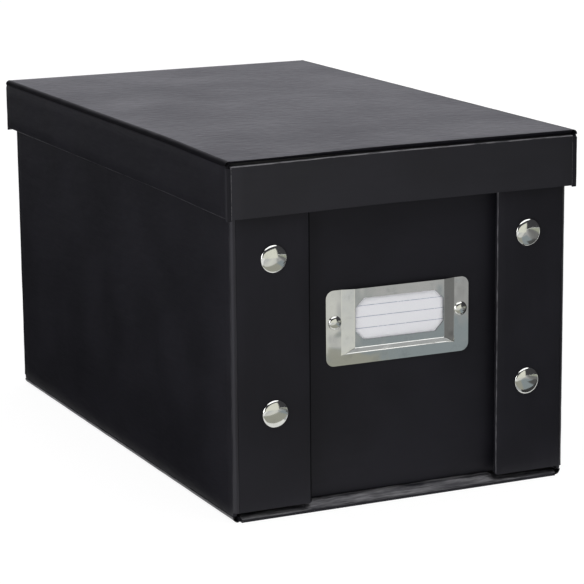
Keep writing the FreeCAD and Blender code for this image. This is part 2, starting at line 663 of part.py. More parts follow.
def write_parts():
    """Checks every object and writes each sub-part to a STEP file of its own."""
    doc.recompute()
    for item in doc.Objects:
        if "Invalid" in item.State or "Error" in item.State:
            raise RuntimeError(f"{item.Label} did not compute: {item.State}")
    os.makedirs("parts", exist_ok=True)
    for part in parts:
        if part.Shape.isNull() or not part.Shape.isValid():
            raise RuntimeError(f"{part.Label} has no valid shape")
        part.Shape.exportStep(f"parts/{part.Label}.step")
        box = part.Shape.BoundBox
        print(f"{part.Label:26s} {len(part.Shape.Solids)} solids {part.Shape.Volume:12.2f} mm3  "
              f"x {box.XMin:8.2f} {box.XMax:8.2f}  y {box.YMin:8.2f} {box.YMax:8.2f}  "
              f"z {box.ZMin:7.2f} {box.ZMax:7.2f}")


make_base()
make_side_walls()
make_end_walls()
make_flaps()
make_snaps()
make_holder()
make_rivets()
make_card()
make_lid()
write_parts()
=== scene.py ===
import logging
import math
from contextlib import contextmanager
from dataclasses import dataclass
from enum import Enum
from typing import Any, Callable, Iterator, Mapping, Sequence

import bmesh
import bpy
from mathutils import Matrix, Vector


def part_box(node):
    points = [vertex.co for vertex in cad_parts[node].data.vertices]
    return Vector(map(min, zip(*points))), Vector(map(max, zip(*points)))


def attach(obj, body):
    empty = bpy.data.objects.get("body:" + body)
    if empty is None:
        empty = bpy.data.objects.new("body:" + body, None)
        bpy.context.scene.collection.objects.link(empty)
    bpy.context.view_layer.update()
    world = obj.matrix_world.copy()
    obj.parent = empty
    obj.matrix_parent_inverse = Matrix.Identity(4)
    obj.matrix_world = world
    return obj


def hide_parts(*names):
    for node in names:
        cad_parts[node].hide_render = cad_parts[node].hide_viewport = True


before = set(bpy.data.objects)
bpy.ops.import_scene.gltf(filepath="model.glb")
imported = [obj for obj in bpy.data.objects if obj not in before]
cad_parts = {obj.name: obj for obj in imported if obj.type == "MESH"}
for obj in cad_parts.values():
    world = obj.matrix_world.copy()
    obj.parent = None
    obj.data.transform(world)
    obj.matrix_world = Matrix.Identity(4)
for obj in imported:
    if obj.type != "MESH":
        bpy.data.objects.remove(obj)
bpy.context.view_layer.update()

# A lidded storage box for discs: boards covered in black leatherette paper, flaps closed by press studs, a
# stamped label holder, and a lift-off lid. Lengths are in metres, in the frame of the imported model.

Colour = tuple[float, float, float]
Span = tuple[float, float]
Point = tuple[float, float, float]
Rings = list[Span]
EdgeTest = Callable[[bmesh.types.BMEdge], bool]
PlaceTest = Callable[[Vector], bool]
Weight = Callable[[Vector], float]

log = logging.getLogger("disc_box")
MM = 0.001
NEAR = 0.02 * MM       # the distance that counts as touching
HAIR = 1e-7            # the thinnest inset
PARALLEL = 0.999       # the least cosine between an edge and its axis
FACING = 0.99          # the least cosine between a face's normal and its axis
LONG_SHARE = 0.7       # the share of a piece's length from which its edges are divided
TIP_STEP = 0.6         # the part of a step between the last ring of a dome and its tip
WAVE_LAYERS = 2        # the finer layers of a crumpled surface
ENDS = (("front", -1), ("back", 1))
SIDES = (("left", -1), ("right", 1))


class Body(Enum):
    """The rigid bodies that pieces ride on."""

    BOX = "box"
    LID = "lid"
    CARD = "card"


class Slot(Enum):
    """The record's material slots."""

    BOARD = "board_black"
    PAPER = "paper_black"
    NICKEL = "nickel"
    CARD = "card_white"


class Pick(Enum):
    """What a selection is made of."""

    VERTS = "VERT"
    EDGES = "EDGE"
    FACES = "FACE"


class Axis(Enum):
    """The directions of the frame, by their index."""

    ACROSS = 0
    DEPTH = 1
    UPRIGHT = 2


# ------------------------------------------------------------------ the bench

def deselect() -> None:
    """Leaves object mode's selection empty."""
    for thing in bpy.context.selected_objects:
        thing.select_set(False)


def along(edge: bmesh.types.BMEdge, axis: Axis) -> bool:
    """Whether an edge has a length and is parallel to an axis."""
    run = edge.verts[1].co - edge.verts[0].co
    return run.length > NEAR and abs(run[axis.value]) > PARALLEL * run.length


def middle(edge: bmesh.types.BMEdge) -> Vector:
    """The midpoint of an edge."""
    return (edge.verts[0].co + edge.verts[1].co) / 2


def held(share: float) -> float:
    """A share, held between 0 and 1."""
    return min(1.0, max(0.0, share))


def is_sharp(edge: bmesh.types.BMEdge, degrees: float) -> bool:
    """Whether the faces at an edge turn by more than an angle."""
    return edge.calc_face_angle(0.0) > math.radians(degrees)


def dome(radius: float, foot: float, rise: float, steps: int, start: float = 0.0) -> Rings:
    """The rings of a dome, as the upper part of a flattened ball.

    Args:
        radius: Its radius.
        foot: The height that it starts from.
        rise: How high it stands on that.
        steps: How many rings it has.
        start: The ball's latitude at the dome's foot, from 0, where it is steep, to a quarter turn.

    Returns:
        The radius and the height of each ring.
    """
    turns = [start + (math.pi / 2 - start) * number / (steps + TIP_STEP) for number in range(1, steps + 1)]
    full = 1.0 - math.sin(start)
    return [(radius * math.cos(turn) / math.cos(start),
             foot + rise * (math.sin(turn) - math.sin(start)) / full) for turn in turns]


class Piece:
    """One visible piece on the bench: a primitive that is shaped in edit mode, then dressed."""

    def __init__(self, name: str, thing: bpy.types.Object) -> None:
        """Takes the thing that an operator has just made, with its place moved into its mesh.

        Args:
            name: The piece's name.
            thing: The object.
        """
        self.thing = thing
        thing.name = name
        self.focus()
        bpy.ops.object.transform_apply(location=True, rotation=True, scale=True)
        while len(thing.data.materials) < 2:
            thing.data.materials.append(None)

    @classmethod
    def cube(cls, name: str, low: Sequence[float], high: Sequence[float]) -> "Piece":
        """A box between two corners.

        Args:
            name: The piece's name.
            low: The lowest corner.
            high: The highest corner.

        Returns:
            The piece.
        """
        deselect()
        low, high = Vector(low), Vector(high)
        bpy.ops.mesh.primitive_cube_add(size=1.0, location=(low + high) / 2, scale=high - low)
        return cls(name, bpy.context.object)

    @classmethod
    def turned(cls, name: str, place: Point, radius: float, base: float, sides: int,
               profile: Rings) -> "Piece":
        """A round button that faces the front: a low drum whose face a lathe has raised in rings.

        Args:
            name: The piece's name.
            place: The middle of its back.
            radius: The radius of the drum.
            base: The height of the drum.
            sides: How many sides it has.
            profile: The radius of each ring, and its height above the drum.

        Returns:
            The piece.
        """
        deselect()
        x, back, z = place
        bpy.ops.mesh.primitive_cylinder_add(
            vertices=sides, radius=radius, depth=base, location=(x, back - base / 2, z),
            rotation=(math.pi / 2, 0.0, 0.0))
        piece, rise = cls(name, bpy.context.object), 0.0
        with piece.editing():
            piece.pick(Pick.FACES, lambda face: face.normal.y < -FACING)
            for ring, height in profile:
                share = ring / radius
                bpy.ops.mesh.inset(thickness=HAIR, depth=0.0, use_even_offset=False)
                bpy.ops.transform.resize(value=(share, 1.0, share), center_override=(x, back - base, z))
                bpy.ops.transform.translate(value=(0.0, rise - height, 0.0))
                radius, rise = ring, height
        return piece

    def focus(self) -> None:
        """Makes this piece the only one selected, and the active one."""
        deselect()
        self.thing.select_set(True)
        bpy.context.view_layer.objects.active = self.thing

    @contextmanager
    def editing(self) -> Iterator[None]:
        """Edit mode on this piece, for as long as the block lasts."""
        self.focus()
        bpy.ops.object.mode_set(mode="EDIT")
        yield
        bpy.ops.object.mode_set(mode="OBJECT")

    def pick(self, kind: Pick, test: Callable[[Any], bool]) -> int:
        """Selects in edit mode.

        Args:
            kind: What is selected.
            test: A test of one element.

        Returns:
            How many elements passed the test.
        """
        bpy.ops.mesh.select_mode(type=kind.value)
        bpy.ops.mesh.select_all(action="DESELECT")
        mesh = bmesh.from_edit_mesh(self.thing.data)
        elements = {Pick.VERTS: mesh.verts, Pick.EDGES: mesh.edges, Pick.FACES: mesh.faces}[kind]
        chosen = [element for element in elements if test(element)]
        for element in chosen:
            element.select_set(True)
        mesh.select_flush_mode()
        bmesh.update_edit_mesh(self.thing.data)
        return len(chosen)

    def round_off(self, radius: float, segments: int, test: EdgeTest, second_finish: bool = False) -> None:
        """Rounds edges.

        Args:
            radius: How wide the rounding is.
            segments: How many steps it has.
            test: Which edges are rounded.
            second_finish: Whether the rounding takes the piece's second finish. It then keeps its width beside
                short edges too.
        """
        with self.editing():
            if self.pick(Pick.EDGES, test):
                bpy.ops.mesh.bevel(offset=radius, offset_type="OFFSET", segments=segments, profile=0.5,
                                   affect="EDGES", clamp_overlap=not second_finish, material=1 if second_finish else 0)

    def lattice(self, step: float) -> None:
        """Divides the long edges evenly, so that the piece can carry slack and creases.

        Args:
            step: About how long each division is.
        """
        with self.editing():
            for axis in Axis:
                longest = max(self.thing.dimensions[axis.value], NEAR)
                cuts = round(longest / step) - 1
                if cuts > 0 and self.pick(Pick.EDGES, lambda edge: along(edge, axis)
                                          and edge.calc_length() > LONG_SHARE * longest):
                    bpy.ops.mesh.subdivide(number_cuts=cuts)

    def shift(self, kind: Pick, test: Callable[[Any], bool], by: Sequence[float]) -> None:
        """Moves part of the piece.

        Args:
            kind: What is moved.
            test: Which elements are moved.
            by: How far.
        """
        with self.editing():
            self.pick(kind, test)
            bpy.ops.transform.translate(value=by)

    def modify(self, kind: str, **settings: Any) -> None:
        """Adds a modifier and applies it.

        Args:
            kind: The modifier's type.
            settings: Its properties.
        """
        self.focus()
        bpy.ops.object.modifier_add(type=kind)
        modifier = self.thing.modifiers[-1]
        for key, value in settings.items():
            setattr(modifier, key, value)
        bpy.ops.object.modifier_apply(modifier=modifier.name)

    def crumple(self, depth: float, grain: float, weight: Weight | None = None, still: float = 1.0) -> None:
        """Pushes the surface in, or in and out, by a soft, fixed pattern.

        Args:
            depth: The height of the pattern from its lowest to its highest.
            grain: The size of its waves.
            weight: How much of it a point takes, from 0 to 1; all of it if left out.
            still: The level of the pattern that stays in place: 1 is its highest, 0 its lowest.
        """
        texture = bpy.data.textures.new(f"{self.thing.name}_waves", type="CLOUDS")
        texture.noise_scale = grain
        texture.noise_depth = WAVE_LAYERS
        self._displace(weight, texture=texture, texture_coords="GLOBAL", direction="NORMAL",
                       mid_level=still, strength=depth)

    def sag(self, depth: float, weight: Weight, axis: Axis = Axis.UPRIGHT) -> None:
        """Lets part of the piece give way against an axis, by a depth where its weight is 1."""
        self._displace(weight, direction="XYZ"[axis.value], mid_level=0.0, strength=-depth)

    def _displace(self, weight: Weight | None, **settings: Any) -> None:
        """Moves the surface by a Displace modifier.

        Args:
            weight: How much of the move a point takes, from 0 to 1; all of it if left out.
            settings: The modifier's properties.
        """
        group_name = ""
        if weight is not None:
            group = self.thing.vertex_groups.new(name="weight")
            for vertex in self.thing.data.vertices:
                group.add([vertex.index], weight(vertex.co), "REPLACE")
            group_name = group.name
        self.modify("DISPLACE", vertex_group=group_name, **settings)
        self.thing.vertex_groups.clear()

    def refinish(self, test: Callable[[bpy.types.MeshPolygon], bool]) -> None:
        """Gives some faces the piece's second finish.

        Args:
            test: Which faces.
        """
        for face in self.thing.data.polygons:
            if test(face):
                face.material_index = 1

    def flatten_shading(self) -> None:
        """Keeps broad faces flat in the shading beside the narrow roundings."""
        self.modify("WEIGHTED_NORMAL", mode="FACE_AREA", keep_sharp=True)

    def join(self, others: Sequence["Piece"], name: str) -> None:
        """Takes other pieces into this one.

        Args:
            others: The pieces, which don't stay on their own.
            name: The name of the whole.
        """
        self.focus()
        for other in others:
            other.thing.select_set(True)
        bpy.ops.object.join()
        self.thing.name = name

    def copy(self, by: Sequence[float]) -> "Piece":
        """A copy with a mesh of its own.

        Args:
            by: How far it is moved.

        Returns:
            The copy.
        """
        twin = self.thing.copy()
        twin.data = self.thing.data.copy()
        bpy.context.scene.collection.objects.link(twin)
        twin.data.transform(Matrix.Translation(by))
        return Piece(self.thing.name, twin)

    def half_turn(self) -> None:
        """Turns the piece round the upright axis of the frame, from one end to the other."""
        self.thing.data.transform(Matrix.Rotation(math.pi, 4, "Z"))

    def smooth(self, degrees: float = 40.0) -> None:
        """Shades the piece smooth, except at edges sharper than an angle."""
        self.focus()
        bpy.ops.object.shade_smooth_by_angle(angle=math.radians(degrees))

    def dress(self, finish: bpy.types.Material, body: Body, slot: Slot, *nodes: str,
              second_finish: bpy.types.Material | None = None) -> None:
        """Gives the finished piece its material and its place in the frame.

        Args:
            finish: The material.
            body: The body that it rides on.
            slot: The record's slot for its finish; not used.
            nodes: The model's nodes that it stands for.
            second_finish: Its second material, for some edges and faces; the same as the rest if left out.
                On the leatherette it carries painted highlights and painted sheen on paler, scuffed paper,
                and painted shade; on the label plate it is cut steel.
        """
        self.thing.data.materials[0] = finish
        if second_finish is None:
            self.thing.data.materials.pop(index=1)
        else:
            self.thing.data.materials[1] = second_finish
        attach(self.thing, body.value)
        if nodes:
            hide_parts(*nodes)
        log.info("%s: %d faces, on %s", self.thing.name, len(self.thing.data.polygons), body.value)


def dress_nodes(finish: bpy.types.Material, *nodes: str) -> None:
    """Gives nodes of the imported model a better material.

    Args:
        finish: The material.
        nodes: The nodes' names.
    """
    for node in nodes:
        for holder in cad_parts[node].material_slots:
            holder.material = finish
        log.info("%s: dressed as packed", node)


# ------------------------------------------------------------------ materials

class Value:
    """A number that varies over a surface. Python's operators on it add Math nodes."""

    def __init__(self, recipe: "Recipe", socket: bpy.types.NodeSocket) -> None:
        """Wraps a socket of a recipe."""
        self.recipe, self.socket = recipe, socket

    def _maths(self, operation: str, *terms: "Value | float") -> "Value":
        """The result of a Math node on some terms."""
        return self.recipe.value("ShaderNodeMath", {"operation": operation}, dict(enumerate(terms)))

    def __add__(self, other: "Value | float") -> "Value":
        """self + other."""
        return self._maths("ADD", self, other)

    def __radd__(self, other: float) -> "Value":
        """other + self."""
        return self._maths("ADD", other, self)

    def __sub__(self, other: "Value | float") -> "Value":
        """self - other."""
        return self._maths("SUBTRACT", self, other)

    def __rsub__(self, other: float) -> "Value":
        """other - self."""
        return self._maths("SUBTRACT", other, self)

    def __mul__(self, other: "Value | float") -> "Value":
        """self * other."""
        return self._maths("MULTIPLY", self, other)

    def __rmul__(self, other: float) -> "Value":
        """other * self."""
        return self._maths("MULTIPLY", other, self)

    def __abs__(self) -> "Value":
        """The size of self without its sign."""
        return self._maths("ABSOLUTE", self)

    def most(self, other: "Value | float") -> "Value":
        """The larger of self and other."""
        return self._maths("MAXIMUM", self, other)

    def step(self, low: float, high: float) -> "Value":
        """A soft step from 0, where self is low, to 1, where self is high."""
        ends = {"Value": self, "From Min": low, "From Max": high}
        return self.recipe.value("ShaderNodeMapRange", {"interpolation_type": "SMOOTHSTEP"}, ends)


class Recipe:
    """A node tree, built by one method that adds a node."""

    def __init__(self, owner: bpy.types.Material | bpy.types.World) -> None:
        """Empties a node tree.

        Args:
            owner: The material or the world that the tree is in.
        """
        owner.use_nodes = True
        self.owner, self.tree = owner, owner.node_tree
        self.tree.nodes.clear()

    @classmethod
    def new(cls, name: str) -> "Recipe":
        """The recipe of a new material."""
        return cls(bpy.data.materials.new(name))

    def node(self, kind: str, settings: Mapping[str, Any], inputs: Mapping[Any, Any]) -> bpy.types.Node:
        """Adds a node.

        Args:
            kind: The node's type.
            settings: Its properties, set first; "stops" holds a ramp's (position, colour) pairs.
            inputs: What its sockets take, by name or number: a value, a Value, a socket or a node.

        Returns:
            The node.
        """
        node = self.tree.nodes.new(kind)
        for key, value in settings.items():
            if key == "stops":
                while len(node.color_ramp.elements) < len(value):
                    node.color_ramp.elements.new(0.5)
                for element, (position, colour) in zip(node.color_ramp.elements, value):
                    element.position = position
                    element.color = (*colour, 1.0)
            else:
                setattr(node, key, value)
        for key, value in inputs.items():
            if isinstance(value, Value):
                value = value.socket
            if isinstance(value, bpy.types.Node):
                value = value.outputs[0]
            if isinstance(value, bpy.types.NodeSocket):
                self.tree.links.new(value, node.inputs[key])
            elif isinstance(value, tuple) and node.inputs[key].type == "RGBA":
                node.inputs[key].default_value = (*value, 1.0)
            else:
                node.inputs[key].default_value = value
        return node

    def value(self, kind: str, settings: Mapping[str, Any], inputs: Mapping[Any, Any],
              output: str | int = 0) -> Value:
        """Adds a node, as above, and takes one of its outputs as a number."""
        return Value(self, self.node(kind, settings, inputs).outputs[output])

    def place(self, stretch: Sequence[float]) -> bpy.types.Node:
        """A Mapping node with Object coordinates, stretched by a factor along each axis."""
        where = self.node("ShaderNodeTexCoord", {}, {}).outputs["Object"]
        return self.node("ShaderNodeMapping", {}, {"Vector": where, "Scale": tuple(stretch)})

    def noise(self, place: bpy.types.Node, scale: float, detail: float, roughness: float = 0.5) -> Value:
        """Soft noise around 0.5, with scale waves to a metre and finer layers of a given roughness."""
        return self.value("ShaderNodeTexNoise", {"noise_dimensions": "3D"},
                          {"Vector": place, "Scale": scale, "Detail": detail, "Roughness": roughness})

    def blend(self, share: Value, first: Any, second: Any) -> bpy.types.NodeSocket:
        """A colour between two tuples or sockets, with a share of the second."""
        node = self.node("ShaderNodeMix", {"data_type": "RGBA"}, {0: share, 6: first, 7: second})
        return node.outputs[2]

    def bump(self, height: Value, distance: float) -> bpy.types.Node:
        """A bumpy normal, from a height whose 1 is a distance in metres."""
        return self.node("ShaderNodeBump", {}, {"Height": height, "Distance": distance, "Strength": 1.0})

    def principled(self, inputs: Mapping[str, Any]) -> bpy.types.Node:
        """Adds a Principled shader."""
        return self.node("ShaderNodeBsdfPrincipled", {}, inputs)

    def close(self, surface: bpy.types.Node, kind: str = "ShaderNodeOutputMaterial") -> Any:
        """Connects a shader to the output, and gives what the tree is in."""
        self.node(kind, {}, {"Surface": surface})
        return self.owner


EVEN = (1.0, 1.0, 1.0)


def stretched(axis: Axis, length: float, width: float) -> Point:
    """Mapping factors, in waves to a metre, that give a pattern its length along an axis and its width."""
    return tuple(1.0 / (length if other is axis else width) for other in Axis)


@dataclass(frozen=True)
class Leatherette:
    """Black covering paper, embossed with a faint fibrous grain that runs one way."""

    grain: Axis
    name: str = "leatherette"
    dark: Colour = (0.0084, 0.0082, 0.0112)
    light: Colour = (0.0118, 0.0115, 0.0156)
    roughness: float = 0.50
    fibre_length: float = 9.0 * MM
    fibre_width: float = 0.9 * MM
    fibre_share: float = 0.65
    wave_length: float = 17.0 * MM
    wave_width: float = 6.5 * MM
    wave_height: float = 0.30 * MM
    pore: float = 0.45 * MM
    pore_share: float = 0.35
    relief: float = 0.035 * MM
    clouds: float = 28.0
    cloud_range: Span = (0.3, 0.7)
    cloud_gloss: float = 0.16
    fibre_gloss: float = 0.14
    specular: float = 0.20
    # painted: a cool tint on the sheen, standing in for the bluish light that the paper reflects
    sheen: Colour = (0.94, 0.93, 1.0)
    # the share of paler streaks and their colour, where the share is above 0: scuffed paper and a painted
    # highlight together
    wear_and_highlight: float = 0.0
    wear_and_highlight_colour: Colour = (0.100, 0.098, 0.106)
    streak_length: float = 7.0 * MM
    streak_width: float = 0.9 * MM
    streak_range: Span = (0.38, 0.68)

    def material(self) -> bpy.types.Material:
        """Makes the material.

        Returns:
            The material.
        """
        recipe = Recipe.new(f"{self.name}_{self.grain.name.lower()}")
        even = recipe.place(EVEN)
        fibres = self._streaks(recipe, self.fibre_length, self.fibre_width, detail=3.0, roughness=0.6)
        pores = recipe.noise(even, 1.0 / self.pore, detail=2.0)
        clouds = recipe.noise(even, self.clouds, detail=3.0)
        waves = self._streaks(recipe, self.wave_length, self.wave_width, detail=1.5, roughness=0.5)
        relief = fibres * self.fibre_share + pores * self.pore_share
        rough = self.roughness + (clouds - 0.5) * self.cloud_gloss + (fibres - 0.5) * self.fibre_gloss
        pale_streaks = self._streaks(recipe, self.streak_length, self.streak_width, detail=3.0, roughness=0.65)
        colour = recipe.blend(clouds.step(*self.cloud_range), self.dark, self.light)
        return recipe.close(recipe.principled({
            # paler streaks in the base colour: scuffed paper and a painted highlight
            "Base Color": recipe.blend(pale_streaks.step(*self.streak_range) * self.wear_and_highlight, colour, self.wear_and_highlight_colour),
            "Roughness": rough,
            "Specular IOR Level": self.specular,
            "Specular Tint": self.sheen,
            "Normal": recipe.bump(relief * self.relief + waves * self.wave_height, 1.0),
        }))

    def _streaks(self, recipe: Recipe, length: float, width: float, detail: float,
                 roughness: float) -> Value:
        """Noise that is drawn out along the grain."""
        return recipe.noise(recipe.place(stretched(self.grain, length, width)), 1.0, detail, roughness)


@dataclass(frozen=True)
class LiningPaper:
    """Matt black paper inside the box."""

    colour: Colour = (0.010, 0.010, 0.0105)
    fibre: Colour = (0.019, 0.019, 0.020)
    fibres: float = 700.0
    fibre_range: Span = (0.45, 0.75)
    clouds: float = 40.0
    roughness: float = 0.78
    cloud_gloss: float = 0.12
    specular: float = 0.3
    relief: float = 0.03 * MM

    def material(self) -> bpy.types.Material:
        """Makes the material.

        Returns:
            The material.
        """
        recipe = Recipe.new("lining_paper")
        even = recipe.place(EVEN)
        fibres = recipe.noise(even, self.fibres, detail=4.0, roughness=0.7)
        clouds = recipe.noise(even, self.clouds, detail=2.0)
        return recipe.close(recipe.principled({
            "Base Color": recipe.blend(fibres.step(*self.fibre_range), self.colour, self.fibre),
            "Roughness": self.roughness + (clouds - 0.5) * self.cloud_gloss,
            "Specular IOR Level": self.specular,
            "Normal": recipe.bump(fibres, self.relief),
        }))


@dataclass(frozen=True)
class Nickel:
    """Bright nickel plate on pressed steel: slightly wavy, with fine rubbed scratches."""

    name: str = "nickel"
    colour: Colour = (0.70, 0.705, 0.68)
    dull: Colour = (0.60, 0.605, 0.585)
    roughness: float = 0.09
    least_roughness: float = 0.03
    wave: float = 10.0 * MM
    wave_depth: float = 0.28 * MM
    scratch_length: float = 6.0 * MM
    scratch_width: float = 0.12 * MM
    scratch_share: float = 0.002
    scratch_gloss: float = 0.03
    stains: float = 160.0
    stain_range: Span = (0.5, 0.8)
    stain_gloss: float = 0.08

    def material(self) -> bpy.types.Material:
        """Makes the material.

        Returns:
            The material.
        """
        recipe = Recipe.new(self.name)
        even = recipe.place(EVEN)
        waves = recipe.noise(even, 1.0 / self.wave, detail=1.0)
        along_scratch = recipe.place(stretched(Axis.ACROSS, self.scratch_length, self.scratch_width))
        scratches = recipe.noise(along_scratch, 1.0, detail=2.0)
        stains = recipe.noise(even, self.stains, detail=4.0, roughness=0.6)
        rough = self.roughness + (stains - 0.5) * self.stain_gloss + (scratches - 0.5) * self.scratch_gloss
        return recipe.close(recipe.principled({
            "Base Color": recipe.blend(stains.step(*self.stain_range), self.colour, self.dull),
            "Metallic": 1.0,
            "Roughness": rough.most(self.least_roughness),
            "Normal": recipe.bump(waves + scratches * self.scratch_share, self.wave_depth),
        }))


@dataclass(frozen=True)
class WritingCard:
    """White card with three ruled writing lines."""

    paper: Colour = (0.97, 0.975, 1.0)
    tint: Colour = (0.94, 0.945, 0.98)
    rule: Colour = (0.33, 0.36, 0.47)
    line_heights: tuple[float, ...] = (74.2 * MM, 78.9 * MM, 83.6 * MM)
    line_edge: Span = (0.084 * MM, 0.168 * MM)
    fibres: float = 1500.0
    fibre_range: Span = (0.4, 0.7)
    print_range: Span = (0.25, 0.5)
    roughness: float = 0.62
    fibre_gloss: float = 0.1
    specular: float = 0.3
    relief: float = 0.012 * MM

    def material(self) -> bpy.types.Material:
        """Makes the material.

        Returns:
            The material.
        """
        recipe = Recipe.new("writing_card")
        even = recipe.place(EVEN)
        place = recipe.node("ShaderNodeSeparateXYZ", {}, {"Vector": even})
        height = Value(recipe, place.outputs["Z"])
        fibres = recipe.noise(even, self.fibres, detail=4.0, roughness=0.6)
        ruled = sum((1.0 - abs(height - line).step(*self.line_edge) for line in self.line_heights), 0.0)
        stock = recipe.blend(fibres.step(*self.fibre_range), self.paper, self.tint)
        return recipe.close(recipe.principled({
            "Base Color": recipe.blend(ruled * fibres.step(*self.print_range), stock, self.rule),
            "Roughness": self.roughness + self.fibre_gloss * (fibres - 0.5),
            "Specular IOR Level": self.specular,
            "Normal": recipe.bump(fibres, self.relief),
        }))


@dataclass(frozen=True)
class FloorPaint:
    """The pale matt floor of the studio, which looks a little lighter than it lights the object."""

    colour: Colour = (0.90, 0.90, 0.90)
    speck: Colour = (0.88, 0.88, 0.885)
    clouds: float = 2.0
    cloud_range: Span = (0.3, 0.7)
    roughness: float = 0.95
    white: float = 1.1
    share: float = 0.82

    def material(self) -> bpy.types.Material:
        """Makes the material.

        Returns:
            The material.
        """
        recipe = Recipe.new("studio_floor")
        clouds = recipe.noise(recipe.place(EVEN), self.clouds, detail=2.0)
        paint = recipe.principled({
            "Base Color": recipe.blend(clouds.step(*self.cloud_range), self.colour, self.speck),
            "Roughness": self.roughness,
            "Specular IOR Level": 0.0,
        })
        ray = recipe.node("ShaderNodeLightPath", {}, {})
        seen = sum((Value(recipe, ray.outputs[kind]) for kind in
                    ("Is Camera Ray", "Is Glossy Ray", "Is Transmission Ray")), 0.0)
        white = recipe.node("ShaderNodeEmission", {}, {"Strength": self.white})
        return recipe.close(
            recipe.node("ShaderNodeMixShader", {}, {0: seen * self.share, 1: paint, 2: white}))


@dataclass(frozen=True)
class GradedCard:
    """A card for reflections, whose tone changes with the place on the box's front that shows it."""

    slant: float = 0.4716
    start: float = -0.125
    tones: tuple[tuple[float, Colour], ...] = (
        (-0.250, (0.66, 0.67, 0.67)), (-0.120, (0.80, 0.80, 0.75)), (-0.046, (0.72, 0.72, 0.69)),
        (-0.036, (0.56, 0.56, 0.55)), (-0.024, (0.47, 0.48, 0.48)), (-0.014, (0.38, 0.40, 0.40)),
        (0.006, (0.48, 0.48, 0.48)), (0.020, (0.50, 0.50, 0.50)), (0.060, (0.48, 0.48, 0.48)),
        (0.120, (0.26, 0.26, 0.26)), (0.200, (0.20, 0.20, 0.20)), (0.320, (0.20, 0.20, 0.20)),
        (0.420, (0.42, 0.44, 0.36)))
    left: Colour = (0.38, 0.38, 0.33)
    middle: Colour = (0.30, 0.34, 0.36)
    corner: Colour = (0.10, 0.10, 0.10)
    far_edge: Span = (-0.335, -0.317)
    far_slant: float = 0.6
    left_edge: Span = (0.070, 0.082)
    right_edge: Span = (0.185, 0.220)
    corner_depth: Span = (-0.290, -0.260)
    corner_start: Span = (0.120, 0.140)
    corner_end: Span = (0.220, 0.260)

    def material(self) -> bpy.types.Material:
        """Makes the material.

        Returns:
            The material.
        """
        recipe = Recipe.new("graded_card")
        place = recipe.node("ShaderNodeSeparateXYZ", {}, {"Vector": recipe.place(EVEN)})
        across, depth = Value(recipe, place.outputs["X"]), Value(recipe, place.outputs["Y"])
        first, last = self.tones[0][0], self.tones[-1][0]
        shown = (across + (depth - self.start) * self.slant - first) * (1.0 / (last - first))
        stops = tuple(((where - first) / (last - first), tone) for where, tone in self.tones)
        far = recipe.node("ShaderNodeValToRGB", {"stops": stops}, {"Fac": shown}).outputs["Color"]
        # The tones near the box, darkest at the right-hand corner, are painted shadow of the box on the
        # floor.
        near = recipe.blend(across.step(*self.left_edge), self.left, self.middle)
        close = (depth + across * self.far_slant).step(*self.far_edge)
        close = close * (1.0 - across.step(*self.right_edge))
        cornered = across.step(*self.corner_start) * (1.0 - across.step(*self.corner_end))
        open_tone = recipe.blend(close, far, near)
        tone = recipe.blend(depth.step(*self.corner_depth) * cornered, open_tone, self.corner)
        return recipe.close(recipe.principled({
            "Base Color": (0.0, 0.0, 0.0),
            "Specular IOR Level": 0.0,
            "Emission Color": tone,
            "Emission Strength": 1.0,
        }))


@dataclass(frozen=True)
class PanelPaint:
    """One plain tone, for a panel or a card that only reflections see."""

    name: str = "reflector_panel"
    colour: Colour = (0.88, 0.88, 0.78)

    def material(self) -> bpy.types.Material:
        """Makes the material."""
        recipe = Recipe.new(self.name)
        return recipe.close(recipe.node("ShaderNodeEmission", {}, {"Color": self.colour, "Strength": 1.0}))


class Leathers(dict[Axis, bpy.types.Material]):
    """A kind of leatherette, made for each direction of its grain when that is first looked up."""

    def __init__(self, name: str, **changes: Any) -> None:
        """Keeps the kind's name and its changes to the plain kind."""
        super().__init__()
        self.name, self.changes = name, changes

    def __missing__(self, grain: Axis) -> bpy.types.Material:
        """The material with its grain along an axis, which has not been looked up before."""
        self[grain] = Leatherette(grain, self.name, **self.changes).material()
        return self[grain]


